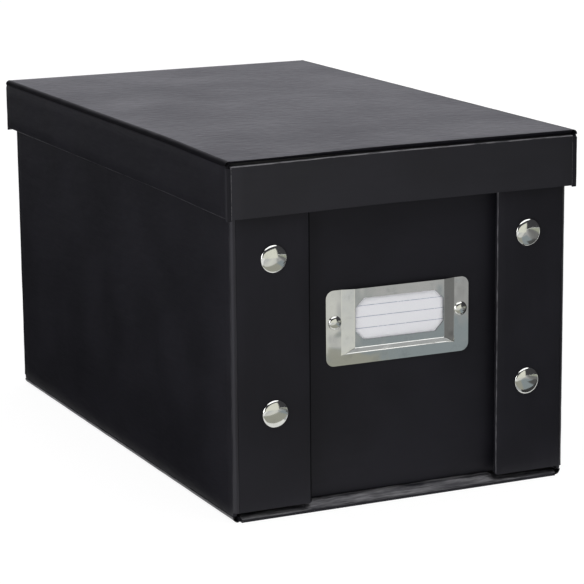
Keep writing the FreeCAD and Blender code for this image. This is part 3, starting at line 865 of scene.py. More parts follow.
class Finishes:
    """Every finish of the box, each made once."""

    def __init__(self) -> None:
        """Makes the materials."""
        self.cover = Leathers("leatherette")
        self.crease = Leathers("creased_leatherette", roughness=0.42, relief=0.05 * MM, specular=0.38)
        # paler streaks on some edges: scuffed paper and a painted highlight
        self.second_finish = Leathers("rubbed_leatherette", roughness=0.38, specular=0.5, wear_and_highlight=1.0)
        # crumpled paper with paler streaks: scuffed paper and a painted sheen
        self.crumpled = Leathers("crumpled_leatherette", roughness=0.34, specular=0.5, wear_and_highlight=1.0,
                                 wear_and_highlight_colour=(0.150, 0.148, 0.154), streak_length=16.0 * MM,
                                 streak_width=1.5 * MM, streak_range=(0.34, 0.74))
        # paler still, for edges: scuffed paper and a brighter painted highlight
        self.worn_highlight = Leathers("worn_leatherette", roughness=0.38, specular=0.5, wear_and_highlight=1.0,
                             wear_and_highlight_colour=(0.170, 0.167, 0.176), streak_range=(0.30, 0.60))
        # painted shade: near-black paper with almost no sheen, for edges and folds that lie in shade
        self.painted_shade = Leathers("shadowed_leatherette", specular=0.05, dark=(0.0030, 0.0029, 0.0040),
                                 light=(0.0045, 0.0044, 0.0058))
        self.top = Leatherette(Axis.ACROSS, "rippled_leatherette", wave_length=5.2 * MM,
                               wave_width=3.6 * MM, wave_height=0.24 * MM, fibre_length=4.0 * MM,
                               fibre_width=1.2 * MM, relief=0.06 * MM).material()
        # painted sheen: a glossier, cooler-tinted copy of the paper, which makes the lid's end skirts
        # lighter than the flaps
        self.painted_sheen = Leatherette(Axis.ACROSS, "handled_leatherette", specular=0.40,
                                   sheen=(0.92, 0.915, 1.0)).material()
        self.lining = LiningPaper().material()
        self.nickel = Nickel().material()
        self.cut_steel = Nickel("cut_steel", colour=(0.16, 0.165, 0.17), dull=(0.10, 0.10, 0.105),
                                roughness=0.4).material()
        self.card = WritingCard().material()


@dataclass
class Assembly:
    """Something that is modelled and dressed from the shared finishes."""

    finishes: Finishes

    def build(self) -> None:
        """Models and dresses it."""
        raise NotImplementedError


# --------------------------------------------------------------- covered board

@dataclass
class CoveredBoard(Assembly):
    """A board wrapped in leatherette: soft edges and a trace of slack."""

    node: str
    body: Body
    grain: Axis
    edge: float = 0.45 * MM
    edge_steps: int = 3
    edge_turn: float = 45.0
    inset: float = 0.04 * MM
    step: float = 6.0 * MM
    slack: float = 0.10 * MM
    slack_grain: float = 45.0 * MM
    corner_radius: float = 0.0
    corner_test: PlaceTest | None = None
    corner_steps: int = 5
    edge_test: PlaceTest | None = None
    edge_finish: bpy.types.Material | None = None
    side_edge: float = 0.0
    finish: bpy.types.Material | None = None
    reach: Span = (0.0, 0.0)
    stretch: Span = (0.0, 0.0)
    weight: Weight | None = None
    sag: float = 0.0

    def build(self) -> None:
        """Models and dresses the board."""
        low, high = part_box(self.node)
        margin = Vector((self.inset, self.inset, self.inset))
        low, high = low + margin, high - margin
        low.x, high.x = low.x + self.reach[0], high.x + self.reach[1]
        low.z, high.z = low.z + self.stretch[0], high.z + self.stretch[1]
        piece = Piece.cube(f"{self.node}_cover", low, high)
        if self.corner_test is not None:
            piece.round_off(self.corner_radius, self.corner_steps,
                            lambda edge: along(edge, Axis.DEPTH) and self.corner_test(middle(edge)))
        if self.side_edge > 0.0:
            piece.round_off(self.side_edge, 2, lambda edge: along(edge, Axis.UPRIGHT), True)
        if self.edge_test is not None:
            piece.round_off(self.edge, self.edge_steps, lambda edge: is_sharp(edge, self.edge_turn)
                            and self.edge_test(middle(edge)), True)
        piece.round_off(self.edge, self.edge_steps, lambda edge: is_sharp(edge, self.edge_turn))
        piece.lattice(self.step)
        if self.slack > 0.0:
            piece.crumple(self.slack, self.slack_grain)
        if self.weight is not None:
            piece.sag(self.sag, self.weight)
        piece.smooth()
        piece.dress(self.finish or self.finishes.cover[self.grain], self.body, Slot.BOARD, self.node,
                    second_finish=self.edge_finish)


@dataclass
class PaperFold(Assembly):
    """A hinge of paper with no board inside, between two boards: a rounded bar, hollow at its ends, with
    faint creases.
    """

    node: str
    body: Body
    run: Axis
    outward: tuple[int, int, int]
    radius: float
    rim: float = 0.5 * MM
    hollow: float = 2.5 * MM
    step: float = 2.5 * MM
    crease: float = 0.16 * MM
    crease_grain: float = 9.0 * MM
    grain: Axis = Axis.UPRIGHT
    finish: bpy.types.Material | None = None
    roundness: float = 0.96
    round_steps: int = 8
    outer_share: float = 0.9
    smoothing: float = 50.0
    weight: Weight | None = None
    sag: float = 0.0

    def build(self) -> None:
        """Models and dresses the fold."""
        low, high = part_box(self.node)
        piece = Piece.cube(f"{self.node}_paper", low, high)
        centre, outward = (low + high) / 2, Vector(self.outward).normalized()

        def is_outer(edge: bmesh.types.BMEdge) -> bool:
            """Whether an edge is the one that the paper turns round."""
            way = (middle(edge) - centre).normalized()
            return along(edge, self.run) and way.dot(outward) > self.outer_share

        piece.round_off(self.radius * self.roundness, self.round_steps, is_outer)
        self._hollow_ends(piece)
        piece.lattice(self.step)
        piece.crumple(self.crease, self.crease_grain)
        if self.weight is not None:
            piece.sag(self.sag, self.weight)
        piece.smooth(self.smoothing)
        piece.dress(self.finish or self.finishes.crease[self.grain], self.body, Slot.PAPER, self.node)

    def _hollow_ends(self, piece: Piece) -> None:
        """Opens both ends, so that the paper shows its thickness there.

        Args:
            piece: The bar.
        """
        for sign in (-1, 1):
            with piece.editing():
                found = piece.pick(Pick.FACES, lambda face: face.normal[self.run.value] * sign > FACING)
                if found:
                    bpy.ops.mesh.inset(thickness=self.rim, depth=-self.hollow)


# ---------------------------------------------------------------- the box body

@dataclass
class Tray(Assembly):
    """The base board and the folds of paper round it."""

    nose_round: float = 0.4 * MM
    nose_height: float = 1.7 * MM
    ramp_top: float = 4.4 * MM
    ramp_angle: float = math.radians(42.0)
    ledge_round: float = 0.5 * MM
    squash: float = 0.35
    clearance: float = 0.05 * MM
    step: float = 1.6 * MM
    end_edge: float = 1.5 * MM
    end_cuts: int = 3
    crumple: float = 0.7 * MM
    crumple_grain: float = 9.0 * MM
    wrinkle: float = 0.34 * MM
    wrinkle_grain: float = 2.6 * MM
    still_foot: float = 0.4 * MM
    still_fade: float = 1.2 * MM
    smoothing: float = 60.0
    # the band at the foot that keeps the plain, darker cover: painted contact shade
    painted_shade_foot: float = 0.9 * MM
    board_edge: float = 0.2 * MM
    side_crease: float = 0.12 * MM

    def build(self) -> None:
        """Models the base and its folds."""
        CoveredBoard(self.finishes, "base_board", Body.BOX, Axis.ACROSS,
                     edge=self.board_edge, slack=0.0).build()
        for side, sign in SIDES:
            node = f"base_{side}_fold"
            low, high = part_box(node)
            PaperFold(self.finishes, node, Body.BOX, Axis.DEPTH, (sign, 0, -1), high.x - low.x,
                      crease=self.side_crease, grain=Axis.DEPTH).build()
        for end, sign in ENDS:
            self._end_fold(end, sign)
        dress_nodes(self.finishes.lining, "base_lining")

    def _end_fold(self, end: str, sign: int) -> None:
        """The crumpled nose and ramp at one end.

        Args:
            end: The end's name.
            sign: -1 at the front, 1 at the back.
        """
        low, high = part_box(f"base_{end}_fold")
        heel, nose = sorted((abs(low.y), abs(high.y)))
        piece = Piece.cube(f"base_{end}_fold_paper", (low.x, heel, self.clearance),
                           (high.x, nose, self.ramp_top))
        ledge = nose - (self.ramp_top - self.nose_height) / math.tan(self.ramp_angle)
        with piece.editing():
            piece.pick(Pick.VERTS, lambda vert: True)
            bpy.ops.mesh.bisect(plane_co=(0.0, 0.0, self.nose_height), plane_no=(0.0, 0.0, 1.0))
        piece.shift(Pick.VERTS, lambda vert: vert.co.y > nose - NEAR and vert.co.z > self.ramp_top - NEAR,
                    (0.0, ledge - nose, 0.0))
        piece.round_off(self.nose_round, 3, lambda edge: along(edge, Axis.ACROSS)
                        and middle(edge).y > nose - NEAR)
        piece.round_off(self.ledge_round, 3, lambda edge: along(edge, Axis.ACROSS)
                        and (middle(edge) - Vector((0.0, ledge, self.ramp_top))).length < NEAR)
        with piece.editing():
            piece.pick(Pick.EDGES, lambda edge: not along(edge, Axis.ACROSS)
                       and edge.calc_length() > self.end_edge)
            bpy.ops.mesh.subdivide(number_cuts=self.end_cuts)
        piece.lattice(self.step)

        flap_low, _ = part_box(f"{end}_right_flap")
        with piece.editing():
            piece.pick(Pick.VERTS, lambda vert: abs(vert.co.x) > flap_low.x + self.step
                       and vert.co.z > self.nose_height + NEAR)
            bpy.ops.transform.resize(value=(1.0, 1.0, self.squash),
                                     center_override=(0.0, 0.0, self.nose_height))

        def free_of_ground(place: Vector) -> float:
            """Keeps the underside and the seam with the wall still."""
            return held((place.z - self.still_foot) / self.still_fade)

        piece.crumple(self.crumple, self.crumple_grain, free_of_ground, 0.5)
        piece.crumple(self.wrinkle, self.wrinkle_grain, free_of_ground, 0.5)
        # Above the foot the faces take the paler crumpled finish, scuffed paper and painted sheen; the foot
        # keeps the darker cover, a painted contact shade.
        piece.refinish(lambda face: face.center.z > self.painted_shade_foot)
        if sign < 0:
            piece.half_turn()
        piece.smooth(self.smoothing)
        piece.dress(self.finishes.cover[Axis.ACROSS], Body.BOX, Slot.PAPER, f"base_{end}_fold",
                    second_finish=self.finishes.crumpled[Axis.ACROSS])


@dataclass
class Walls(Assembly):
    """The four walls, their linings, the flaps and the upright folds that carry the flaps."""

    wall_slack: float = 0.14 * MM
    flap_corner: float = 1.2 * MM
    flap_shift: float = 0.9 * MM
    flap_step: float = 4.0 * MM
    highlight_edge: float = 0.45 * MM
    painted_shade_edge: float = 0.9 * MM
    corner_reach: float = 0.2 * MM
    edge_reach: float = 0.4 * MM

    def build(self) -> None:
        """Models the walls and flaps."""
        for side in ("left", "right"):
            CoveredBoard(self.finishes, f"{side}_board", Body.BOX, Axis.DEPTH, slack=self.wall_slack).build()
        for end in ("front", "back"):
            CoveredBoard(self.finishes, f"{end}_board", Body.BOX, Axis.ACROSS, slack=self.wall_slack).build()
        dress_nodes(self.finishes.lining, "left_lining", "right_lining", "front_lining", "back_lining")
        for end, end_sign in ENDS:
            for side, sign in SIDES:
                self._flap(f"{end}_{side}_flap")
                node = f"{end}_{side}_corner_fold"
                low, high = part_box(node)
                PaperFold(self.finishes, node, Body.BOX, Axis.UPRIGHT, (sign, end_sign, 0),
                          high.x - low.x).build()

    def _flap(self, node: str) -> None:
        """One flap, with its free lower corner rounded.

        Args:
            node: The flap's node.
        """
        low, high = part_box(node)
        right_hand = low.x > 0
        free = (low.x if right_hand else high.x) + self.flap_shift
        # painted highlight on paler, scuffed paper at the right flap's free edge; painted shade at the left
        # flap's free edge
        edges = self.finishes.second_finish if right_hand else self.finishes.painted_shade

        def at_free_corner(place: Vector) -> bool:
            """Whether a place is at the flap's free lower corner."""
            return abs(place.x - free) < self.corner_reach and place.z < low.z + self.corner_reach

        CoveredBoard(self.finishes, node, Body.BOX, Axis.UPRIGHT, step=self.flap_step,
                     edge=self.highlight_edge if right_hand else self.painted_shade_edge,
                     edge_test=lambda place: abs(place.x - free) < self.edge_reach,
                     edge_finish=edges[Axis.UPRIGHT],
                     corner_radius=self.flap_corner, corner_test=at_free_corner,
                     reach=(self.flap_shift, 0.0) if right_hand else (0.0, self.flap_shift)).build()


@dataclass
class PressStuds(Assembly):
    """The eight press studs, two to a flap, whose domed caps have rolled rims."""

    cap_radius: float = 5.7 * MM
    undercut: float = 0.35 * MM
    base: float = 0.25 * MM
    rim: tuple[Span, ...] = (
        (0.0, 0.08 * MM), (0.03 * MM, 0.17 * MM), (0.12 * MM, 0.26 * MM), (0.31 * MM, 0.403 * MM),
        (0.50 * MM, 0.546 * MM))
    dome_height: float = 0.858 * MM
    dome_start: float = math.radians(33.3)
    dome_steps: int = 10
    sides: int = 48
    smoothing: float = 50.0

    def build(self) -> None:
        """Models the caps and dresses what holds them."""
        for end, sign in ENDS:
            low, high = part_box(f"{end}_snap_caps")
            flap_low, flap_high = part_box(f"{end}_left_flap")
            face = flap_low.y if sign < 0 else -flap_high.y
            pattern = self._cap(face)
            reach = high.x - self.cap_radius
            caps = []
            for x in (-reach, reach):
                for z in (low.z + self.cap_radius, high.z - self.cap_radius):
                    caps.append(pattern.copy((x, 0.0, z)))
            bpy.data.objects.remove(pattern.thing)
            caps[0].join(caps[1:], f"{end}_snap_caps_domed")
            if sign > 0:
                caps[0].half_turn()
            caps[0].smooth(self.smoothing)
            caps[0].dress(self.finishes.nickel, Body.BOX, Slot.NICKEL, f"{end}_snap_caps")
            for part in ("sockets", "studs", "eyelets"):
                dress_nodes(self.finishes.nickel, f"{end}_snap_{part}")

    def _cap(self, face: float) -> Piece:
        """A cap in the middle of the frame, on a face of the front.

        Args:
            face: Where the face is.

        Returns:
            The cap.
        """
        rim = [(self.cap_radius - inward, height) for inward, height in self.rim]
        crown = dome(*rim[-1], self.dome_height, self.dome_steps, self.dome_start)
        return Piece.turned("cap", (0.0, face, 0.0), self.cap_radius - self.undercut, self.base,
                            self.sides, rim + crown)


@dataclass
class LabelHolder(Assembly):
    """The stamped plate with its rivets, and the card that stands in it."""

    sheet: float = 0.6 * MM
    lift: float = 1.6 * MM
    lean: float = 0.22 * MM
    crease: float = 0.6 * MM
    crease_steps: int = 4
    crease_turn: Span = (0.15, 1.0)
    rim_turn: float = 1.4
    rim_round: float = 0.14 * MM
    longest_crease: float = 10.0 * MM
    wall_gap: float = 0.01 * MM
    sill_facing: Span = (-0.5, -0.3)
    rib: tuple[Span, ...] = (
        (0.12 * MM, 0.216 * MM), (0.12 * MM, 0.0), (0.12 * MM, 0.0), (0.12 * MM, -0.216 * MM))
    flange: float = 7.0 * MM
    side_run: float = 5.2 * MM
    foot_flange: float = 4.6 * MM
    sill_run: float = 2.7 * MM
    corner: float = 3.5 * MM
    corner_steps: int = 7
    smoothing: float = 30.0
    window: Span = (40.8 * MM, 17.4 * MM)
    window_foot: float = 10.3 * MM
    window_chamfer: float = 3.9 * MM
    cut_reach: Span = (6.0 * MM, 3.0 * MM)
    rivet_radius: float = 2.95 * MM
    rivet_height: float = 1.4 * MM
    rivet_foot: float = 0.2 * MM
    rivet_sides: int = 40
    rivet_steps: int = 8
    rivet_smoothing: float = 50.0
    card_step: float = 1.1 * MM
    card_lift: float = 1.1 * MM
    card_bend: float = 4.4 * MM
    card_foot: float = 2.0 * MM

    def build(self) -> None:
        """Models the plate and rivets, and dresses the card and washers."""
        low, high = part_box("label_holder")
        wall_low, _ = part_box("front_board")
        plate = self._plate(low, high, wall_low.y)
        self._cut_window(plate, low.z + self.window_foot, wall_low.y)
        plate.smooth(self.smoothing)
        plate.flatten_shading()
        plate.dress(self.finishes.nickel, Body.BOX, Slot.NICKEL, "label_holder",
                    second_finish=self.finishes.cut_steel)
        self._rivets()
        dress_nodes(self.finishes.nickel, "rivet_washers")
        self._card()

    def _card(self) -> None:
        """The card, which springs forward against the back of the plate."""
        low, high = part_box("label_card")
        card = Piece.cube("label_card_ruled", low, high)
        card.lattice(self.card_step)

        def sprung(place: Vector) -> float:
            """How far a place is from the edges that the plate holds down."""
            across, up = (high.x - abs(place.x)) / self.card_bend, (place.z - low.z) / self.card_foot
            return held(min(across, up))

        card.sag(self.card_lift, sprung, Axis.DEPTH)
        card.smooth()
        card.dress(self.finishes.card, Body.CARD, Slot.CARD, "label_card")

    def _plate(self, low: Vector, high: Vector, wall: float) -> Piece:
        """The plate without its opening.

        Args:
            low: The plate's lowest corner.
            high: Its highest corner.
            wall: The face of the front board.

        Returns:
            The plate.
        """
        sheet_face, back = wall - self.sheet, wall - self.wall_gap
        plate = Piece.cube("label_holder_plate", (low.x, sheet_face, low.z), (high.x, back, high.z))
        foot_x, crown_x = high.x - self.flange, high.x - self.flange - self.side_run
        foot_z, crown_z = low.z + self.foot_flange, low.z + self.foot_flange + self.sill_run
        lines = [((x, 0.0, 0.0), (1.0, 0.0, 0.0)) for x in (-foot_x, -crown_x, crown_x, foot_x)]
        lines += [((0.0, 0.0, z), (0.0, 0.0, 1.0)) for z in (foot_z, crown_z)]
        with plate.editing():
            for place, normal in lines:
                bpy.ops.mesh.select_all(action="SELECT")
                bpy.ops.mesh.bisect(plane_co=place, plane_no=normal)
        for half, foot, rise in ((foot_x, foot_z, self.lean), (crown_x, crown_z, self.lift - self.lean)):
            plate.shift(Pick.VERTS, lambda vert: abs(vert.co.x) < half + NEAR and vert.co.z > foot - NEAR,
                        (0.0, -rise, 0.0))
        for sign in (-1, 1):
            steps = ((high.x, 0.0, low.z), (foot_x, self.lean, foot_z), (crown_x, self.lift, crown_z))
            for face in (sheet_face, back):
                corners = [Vector((sign * x, face - rise, z)) for x, rise, z in steps]
                for ends in (corners[:2], corners[1:]):
                    with plate.editing():
                        plate.pick(Pick.VERTS, lambda vert: any((vert.co - end).length < NEAR
                                                                for end in ends))
                        bpy.ops.mesh.vert_connect()
        with plate.editing():
            forward, down = self.sill_facing
            plate.pick(Pick.FACES, lambda face: face.normal.y < forward and face.normal.z < down)
            for run, rise in self.rib:
                bpy.ops.mesh.inset(thickness=run, depth=rise)
        least, most = self.crease_turn
        plate.round_off(self.corner, self.corner_steps,
                        lambda edge: along(edge, Axis.DEPTH) and edge.calc_face_angle(0.0) > most)
        plate.round_off(self.crease, self.crease_steps, lambda edge: least < edge.calc_face_angle(0.0) < most
                        and min(vert.co.z for vert in edge.verts) < high.z - NEAR
                        and not (along(edge, Axis.ACROSS) and edge.calc_length() > self.longest_crease))
        plate.round_off(self.rim_round, 2,
                        lambda edge: along(edge, Axis.DEPTH) or edge.calc_face_angle(0.0) > self.rim_turn)
        return plate

    def _cut_window(self, plate: Piece, foot: float, wall: float) -> None:
        """Cuts the opening with its cut corners.

        Args:
            plate: The plate.
            foot: The height of the opening's lower edge.
            wall: The face of the front board.
        """
        half = self.window[0] / 2
        cutter = Piece.cube("window_cutter", (-half, wall - self.cut_reach[0], foot),
                            (half, wall + self.cut_reach[1], foot + self.window[1]))
        cutter.round_off(self.window_chamfer, 1, lambda edge: along(edge, Axis.DEPTH))
        cutter.refinish(lambda face: True)
        plate.modify("BOOLEAN", operation="DIFFERENCE", object=cutter.thing, solver="EXACT")
        bpy.data.objects.remove(cutter.thing)

    def _rivets(self) -> None:
        """The two dome rivets."""
        low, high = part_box("holder_rivets")
        face = low.y + self.rivet_height
        reach = high.x - self.rivet_radius
        height = (low.z + high.z) / 2
        crown = dome(self.rivet_radius, 0.0, self.rivet_height - self.rivet_foot, self.rivet_steps)
        pattern = Piece.turned("rivet", (0.0, face, height), self.rivet_radius, self.rivet_foot,
                               self.rivet_sides, crown)
        rivets = [pattern.copy((x, 0.0, 0.0)) for x in (-reach, reach)]
        bpy.data.objects.remove(pattern.thing)
        rivets[0].join(rivets[1:], "holder_rivets_domed")
        rivets[0].smooth(self.rivet_smoothing)
        rivets[0].dress(self.finishes.nickel, Body.BOX, Slot.NICKEL, "holder_rivets")


@dataclass
class Lid(Assembly):
    """The lift-off lid: top board, folds, grooves, skirts and corner wraps."""

    undercut: float = 1.5 * MM
    top_edge: float = 0.15 * MM
    top_gap: float = 0.05 * MM
    top_step: float = 6.0 * MM
    top_slack: Span = (0.10 * MM, 50.0 * MM)
    top_skin: float = 0.2 * MM
    top_foot: float = 0.3 * MM
    fold_crease: float = 0.08 * MM
    fold_hollow: float = 0.4 * MM
    skirt_edge: float = 0.5 * MM
    side_skirt_edge: float = 0.35 * MM
    highlight_reach: float = 0.5 * MM
    seam_edge: float = 0.22 * MM
    groove_set: float = 0.4 * MM
    groove_step: float = 3.0 * MM
    groove_slack: Span = (0.15 * MM, 7.0 * MM)
    skirt_reach: float = 0.45 * MM
    skirt_stretch: Span = (-0.45 * MM, 0.85 * MM)
    wrap_curl: float = 1.0 * MM
    wrap_lap: float = 0.3 * MM
    wrap_edge: float = 0.65 * MM
    wrap_round: float = 0.25 * MM
    wrap_turn: float = 60.0
    wrap_step: float = 1.5 * MM
    wrap_slack: Span = (0.16 * MM, 5.0 * MM)
    tab_sheet: float = 0.28 * MM
    tab_inset: float = 1.2 * MM
    sag: float = 1.0 * MM
    skirt_sag: float = 0.85 * MM
    sag_start: Span = (0.0, 60.0 * MM)
    sag_run: Span = (80.0 * MM, 72.0 * MM)

    def build(self) -> None:
        """Models the lid."""
        self._top()
        for side, sign in SIDES:
            node = f"lid_{side}_fold"
            low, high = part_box(node)
            # the side folds take painted shade: near-black paper with almost no sheen
            PaperFold(self.finishes, node, Body.LID, Axis.DEPTH, (sign, 0, 1), high.x - low.x,
                      crease=self.fold_crease, finish=self.finishes.painted_shade[Axis.DEPTH],
                      hollow=self.fold_hollow, weight=self._sagging, sag=self.sag).build()
            self._skirt(side, Axis.DEPTH, self.side_skirt_edge)
        for end in ("front", "back"):
            self._skirt(end, Axis.ACROSS, self.skirt_edge)
            self._groove(end)
            for side in ("left", "right"):
                self._corner(f"lid_{end}_{side}_corner")
        dress_nodes(self.finishes.lining, "lid_lining")

    def _sagging(self, place: Vector) -> float:
        """How much a place takes of the sag at the corner that has given way with use.

        Args:
            place: The place.

        Returns:
            From 0, away from the front left corner, to 1, at it.
        """
        across = held((-place.x - self.sag_start[0]) / self.sag_run[0])
        depth = held((-place.y - self.sag_start[1]) / self.sag_run[1])
        return (across * across * (3.0 - 2.0 * across)) * (depth * depth * (3.0 - 2.0 * depth))

    def _skirt(self, side: str, grain: Axis, edge: float) -> None:
        """One of the four skirts, with a painted highlight on paler, scuffed paper along the top and upright
        edges of the end ones and along the bottom of the side ones; the end ones are a glossier copy, a
        painted sheen.

        Args:
            side: Which side it is on.
            grain: The way that its paper's grain runs.
            edge: How wide its edges are rounded.
        """
        low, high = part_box(f"lid_{side}_skirt")
        common = {"edge": edge, "weight": self._sagging, "sag": self.skirt_sag}
        if grain is Axis.ACROSS:
            # end skirts: the glossier copy as painted sheen, and a painted highlight on paler, scuffed paper
            # along the top and the upright edges
            CoveredBoard(self.finishes, f"lid_{side}_skirt", Body.LID, grain, **common,
                         finish=self.finishes.painted_sheen, edge_finish=self.finishes.worn_highlight[grain],
                         edge_test=lambda place: place.z > high.z - self.highlight_reach,
                         side_edge=self.seam_edge, reach=(-self.skirt_reach, self.skirt_reach),
                         stretch=self.skirt_stretch).build()
        else:
            # side skirts: a painted highlight on paler, scuffed paper along the bottom edge
            CoveredBoard(self.finishes, f"lid_{side}_skirt", Body.LID, grain, **common,
                         edge_finish=self.finishes.second_finish[grain],
                         edge_test=lambda place: place.z < low.z + self.highlight_reach).build()

    def _groove(self, end: str) -> None:
        """The paper in the groove between the top board and an end skirt.

        Args:
            end: The end's name.
        """
        low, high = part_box(f"lid_{end}_fold")
        if end == "front":
            low.y += self.groove_set
        else:
            high.y -= self.groove_set
        piece = Piece.cube(f"lid_{end}_fold_paper", low - Vector((0.0, 0.0, self.skirt_sag)), high)
        piece.lattice(self.groove_step)
        piece.crumple(*self.groove_slack)
        piece.smooth()
        piece.dress(self.finishes.lining, Body.LID, Slot.PAPER, f"lid_{end}_fold")

    def _top(self) -> None:
        """The top board, whose front and back edges run in under it to the grooves."""
        low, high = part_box("lid_board")
        piece = Piece.cube("lid_board_cover", low, high - Vector((0.0, 0.0, self.top_gap)))
        for sign in (-1, 1):
            piece.shift(Pick.VERTS, lambda vert: vert.co.y * sign > 0 and vert.co.z < low.z + NEAR,
                        (0.0, -sign * self.undercut, 0.0))
        piece.round_off(self.top_edge, 3, lambda edge: along(edge, Axis.ACROSS))
        piece.lattice(self.top_step)
        piece.crumple(*self.top_slack, lambda place: 1.0 if place.z > high.z - self.top_skin else 0.0)
        piece.sag(self.sag, lambda place: self._sagging(place) if place.z > low.z + self.top_foot else 0.0)
        piece.smooth()
        piece.dress(self.finishes.top, Body.LID, Slot.BOARD, "lid_board")

    def _corner(self, node: str) -> None:
        """A corner of the skirt: paper over the end of the side skirt, a web and a glued tab.

        Args:
            node: The corner's node.
        """
        low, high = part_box(node)
        sign = 1 if high.x + low.x > 0 else -1
        end_sign = 1 if high.y + low.y > 0 else -1
        side_low, side_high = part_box("lid_right_skirt")
        outer, inner = high.x if sign > 0 else -low.x, side_low.x - self.wrap_lap
        back, face = sorted((abs(low.y), abs(high.y)))
        wrap_back = side_high.y
        wrap = self._corner_box(f"{node}_wrap", sign, end_sign, (inner, outer), (wrap_back, face),
                                (low.z - self.wrap_curl, high.z))
        # the outer upright edge takes a painted highlight on paler, scuffed paper
        wrap.round_off(self.wrap_edge, 3, lambda edge: along(edge, Axis.UPRIGHT)
                       and abs(middle(edge).y) > face - NEAR and abs(middle(edge).x) > outer - NEAR, True)
        wrap.round_off(self.wrap_round, 2, lambda edge: is_sharp(edge, self.wrap_turn)
                       and abs(middle(edge).y) > wrap_back + self.wrap_lap)
        wrap.lattice(self.wrap_step)
        wrap.crumple(*self.wrap_slack)
        web = self._corner_box("web", sign, end_sign, (inner, side_low.x), (back, wrap_back),
                               (low.z, high.z))
        tab_start = low.x * sign if sign > 0 else high.x * sign
        tab = self._corner_box("tab", sign, end_sign, (tab_start, inner), (back, back + self.tab_sheet),
                               (low.z + self.tab_inset, high.z - self.tab_inset))
        wrap.join([web, tab], f"{node}_wrap")
        wrap.sag(self.skirt_sag, self._sagging)
        wrap.smooth()
        wrap.dress(self.finishes.cover[Axis.UPRIGHT], Body.LID, Slot.PAPER, node,
                   second_finish=self.finishes.worn_highlight[Axis.UPRIGHT])

    def _corner_box(self, name: str, sign: int, end_sign: int, x: Span, y: Span, z: Span) -> Piece:
        """A box at one corner, from ranges that count outward from the middle."""
        xs, ys = sorted(sign * value for value in x), sorted(end_sign * value for value in y)
        return Piece.cube(name, (xs[0], ys[0], z[0]), (xs[1], ys[1], z[1]))


# ------------------------------------------------------------------ the studio

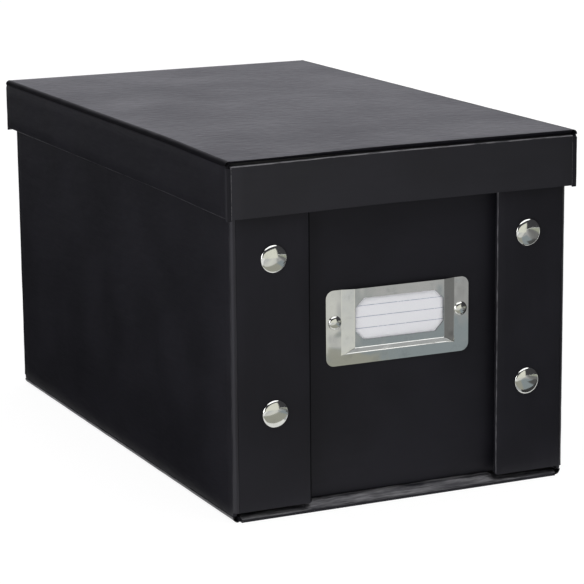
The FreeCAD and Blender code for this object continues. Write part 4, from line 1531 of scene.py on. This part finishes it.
@dataclass
class Studio:
    """A pale floor, soft light from above and from the left, and the camera."""

    floor_size: float = 12.0
    window: Point = (0.50, 0.83, 0.24)
    window_spread: Span = (0.72, 0.95)
    sky_front: float = 0.06
    sky_back: float = 1.42
    sky_tint: Colour = (0.96, 0.95, 1.03)
    overhead: float = 2.1
    overhead_spread: float = 76.0
    overhead_tilt: Span = (11.0, 1.0)
    left_light: float = 14.0
    left_size: float = 1.0
    left_place: Point = (-1.75, -0.95, 0.55)
    left_aim: Point = (0.0, 0.0, 0.08)
    card_sheet: float = 0.5 * MM
    card_height: float = 1.0 * MM
    flag_low: Span = (-1.9, -0.12)
    flag_high: Span = (-0.0783, 1.9)
    flag_slope: float = 0.7
    grey_low: Span = (-0.16, -3.5)
    grey_high: Span = (3.0, -0.178)
    foot_span: Span = (-0.1785, -0.146)
    foot_cards: tuple[tuple[str, Span, Colour], ...] = (
        ("left_foot_card", (-0.10, 0.004), (0.95, 0.95, 0.93)),
        ("middle_foot_card", (0.004, 0.062), (0.46, 0.47, 0.48)),
        ("right_foot_card", (0.062, 0.40), (0.05, 0.05, 0.05)))
    panel_right: Span = (0.27, -0.665)
    panel_left: Span = (-0.72, -1.46)
    panel_height: float = 0.33
    panel_sheet: float = 4.0 * MM
    focal_pixels: float = 2492.638
    frame_pixels: float = 584.0
    sensor: float = 36.0
    far_clip: float = 50.0
    yaw: float = -0.4378431
    pitch: float = -0.2184567
    roll: float = 0.0097750
    stand: Point = (-0.4631070, -1.0102806, 0.3096341)

    def build(self) -> None:
        """Sets the stage."""
        self._floor()
        self._cards()
        self._panel()
        self._world()
        self._lamps()
        self._camera()
        bpy.context.scene.view_settings.view_transform = "Standard"

    def _floor(self) -> None:
        """The floor."""
        deselect()
        bpy.ops.mesh.primitive_plane_add(size=self.floor_size, location=(0.0, 0.0, 0.0))
        floor = bpy.context.object
        floor.name = "floor"
        floor.data.materials.append(FloorPaint().material())

    def _card(self, name: str, low: Span, high: Span, finish: bpy.types.Material) -> Piece:
        """A card that lies on the floor, and that only reflections see."""
        foot = self.card_height - self.card_sheet
        return self._set_up(Piece.cube(name, (*low, foot), (*high, self.card_height)), finish)

    def _set_up(self, card: Piece, finish: bpy.types.Material) -> Piece:
        """Puts a card on the stage, where only reflections see it.

        Args:
            card: The card.
            finish: Its material.

        Returns:
            The card.
        """
        card.thing.data.materials.clear()
        card.thing.data.materials.append(finish)
        card.thing.visible_camera = card.thing.visible_diffuse = card.thing.visible_shadow = False
        return card

    def _panel(self) -> None:
        """A white panel that stands in front, and that only reflections see."""
        start, end = Vector((*self.panel_right, 0.0)), Vector((*self.panel_left, 0.0))
        run = end - start
        half = self.panel_sheet / 2
        panel = Piece.cube("reflector_panel", (0.0, -half, 0.0), (run.length, half, self.panel_height))
        turn = Matrix.Rotation(math.atan2(run.y, run.x), 4, "Z")
        panel.thing.data.transform(Matrix.Translation(start) @ turn)
        self._set_up(panel, PanelPaint().material())

    def _cards(self) -> None:
        """A black card keeps the left side dark; the others give the front its fall from left to right."""
        flag = self._card("black_flag", self.flag_low, self.flag_high, LiningPaper().material())
        far = self.flag_low[0]
        flag.shift(Pick.VERTS, lambda vert: vert.co.x < far + NEAR and vert.co.y < self.flag_high[1] - NEAR,
                   (0.0, (self.flag_high[0] - far) * self.flag_slope, 0.0))
        self._card("graded_card", self.grey_low, self.grey_high, GradedCard().material())
        for name, span, tone in self.foot_cards:
            self._card(name, (span[0], self.foot_span[0]), (span[1], self.foot_span[1]),
                       PanelPaint(name, tone).material())

    def _world(self) -> None:
        """A dim room with a pale window behind and to the right."""
        world = bpy.data.worlds.new("studio")
        bpy.context.scene.world = world
        recipe = Recipe(world)
        where = recipe.node("ShaderNodeTexCoord", {}, {})
        facing = recipe.value("ShaderNodeVectorMath", {"operation": "DOT_PRODUCT"},
                              {0: where.outputs["Generated"], 1: self.window}, "Value")
        level = self.sky_front + facing.step(*self.window_spread) * (self.sky_back - self.sky_front)
        recipe.close(recipe.node("ShaderNodeBackground", {}, {"Color": self.sky_tint, "Strength": level}),
                     "ShaderNodeOutputWorld")

    def _lamps(self) -> None:
        """The overhead light and the softbox at the left."""
        sun = bpy.data.lights.new("overhead", "SUN")
        sun.energy = self.overhead
        sun.angle = math.radians(self.overhead_spread)
        lamp = bpy.data.objects.new("overhead", sun)
        lamp.rotation_euler = (*(math.radians(angle) for angle in self.overhead_tilt), 0.0)
        bpy.context.scene.collection.objects.link(lamp)
        box = bpy.data.lights.new("left_softbox", "AREA")
        box.shape = "SQUARE"
        box.size = self.left_size
        box.energy = self.left_light
        softbox = bpy.data.objects.new("left_softbox", box)
        softbox.location = self.left_place
        aim = Vector(self.left_aim) - Vector(self.left_place)
        softbox.rotation_euler = aim.to_track_quat("-Z", "Y").to_euler()
        bpy.context.scene.collection.objects.link(softbox)

    def _camera(self) -> None:
        """The camera, which looks down at the front and the left side from a distance."""
        camera = bpy.data.cameras.new("camera")
        camera.sensor_width = self.sensor
        camera.lens = camera.sensor_width * self.focal_pixels / self.frame_pixels
        camera.clip_end = self.far_clip
        viewer = bpy.data.objects.new("camera", camera)
        turn = (Matrix.Rotation(self.yaw, 4, "Z") @ Matrix.Rotation(self.pitch, 4, "X")
                @ Matrix.Rotation(self.roll, 4, "Y") @ Matrix.Rotation(math.pi / 2, 4, "X"))
        viewer.matrix_world = Matrix.Translation(self.stand) @ turn
        bpy.context.scene.collection.objects.link(viewer)
        bpy.context.scene.camera = viewer


def main() -> None:
    """Builds the box and its studio."""
    logging.basicConfig(level=logging.INFO, format="%(name)s: %(message)s")
    finishes = Finishes()
    for kind in (Tray, Walls, PressStuds, LabelHolder, Lid):
        log.info("building %s", kind.__name__)
        kind(finishes).build()
    Studio().build()
    deselect()


if __name__ == "__main__":
    main()
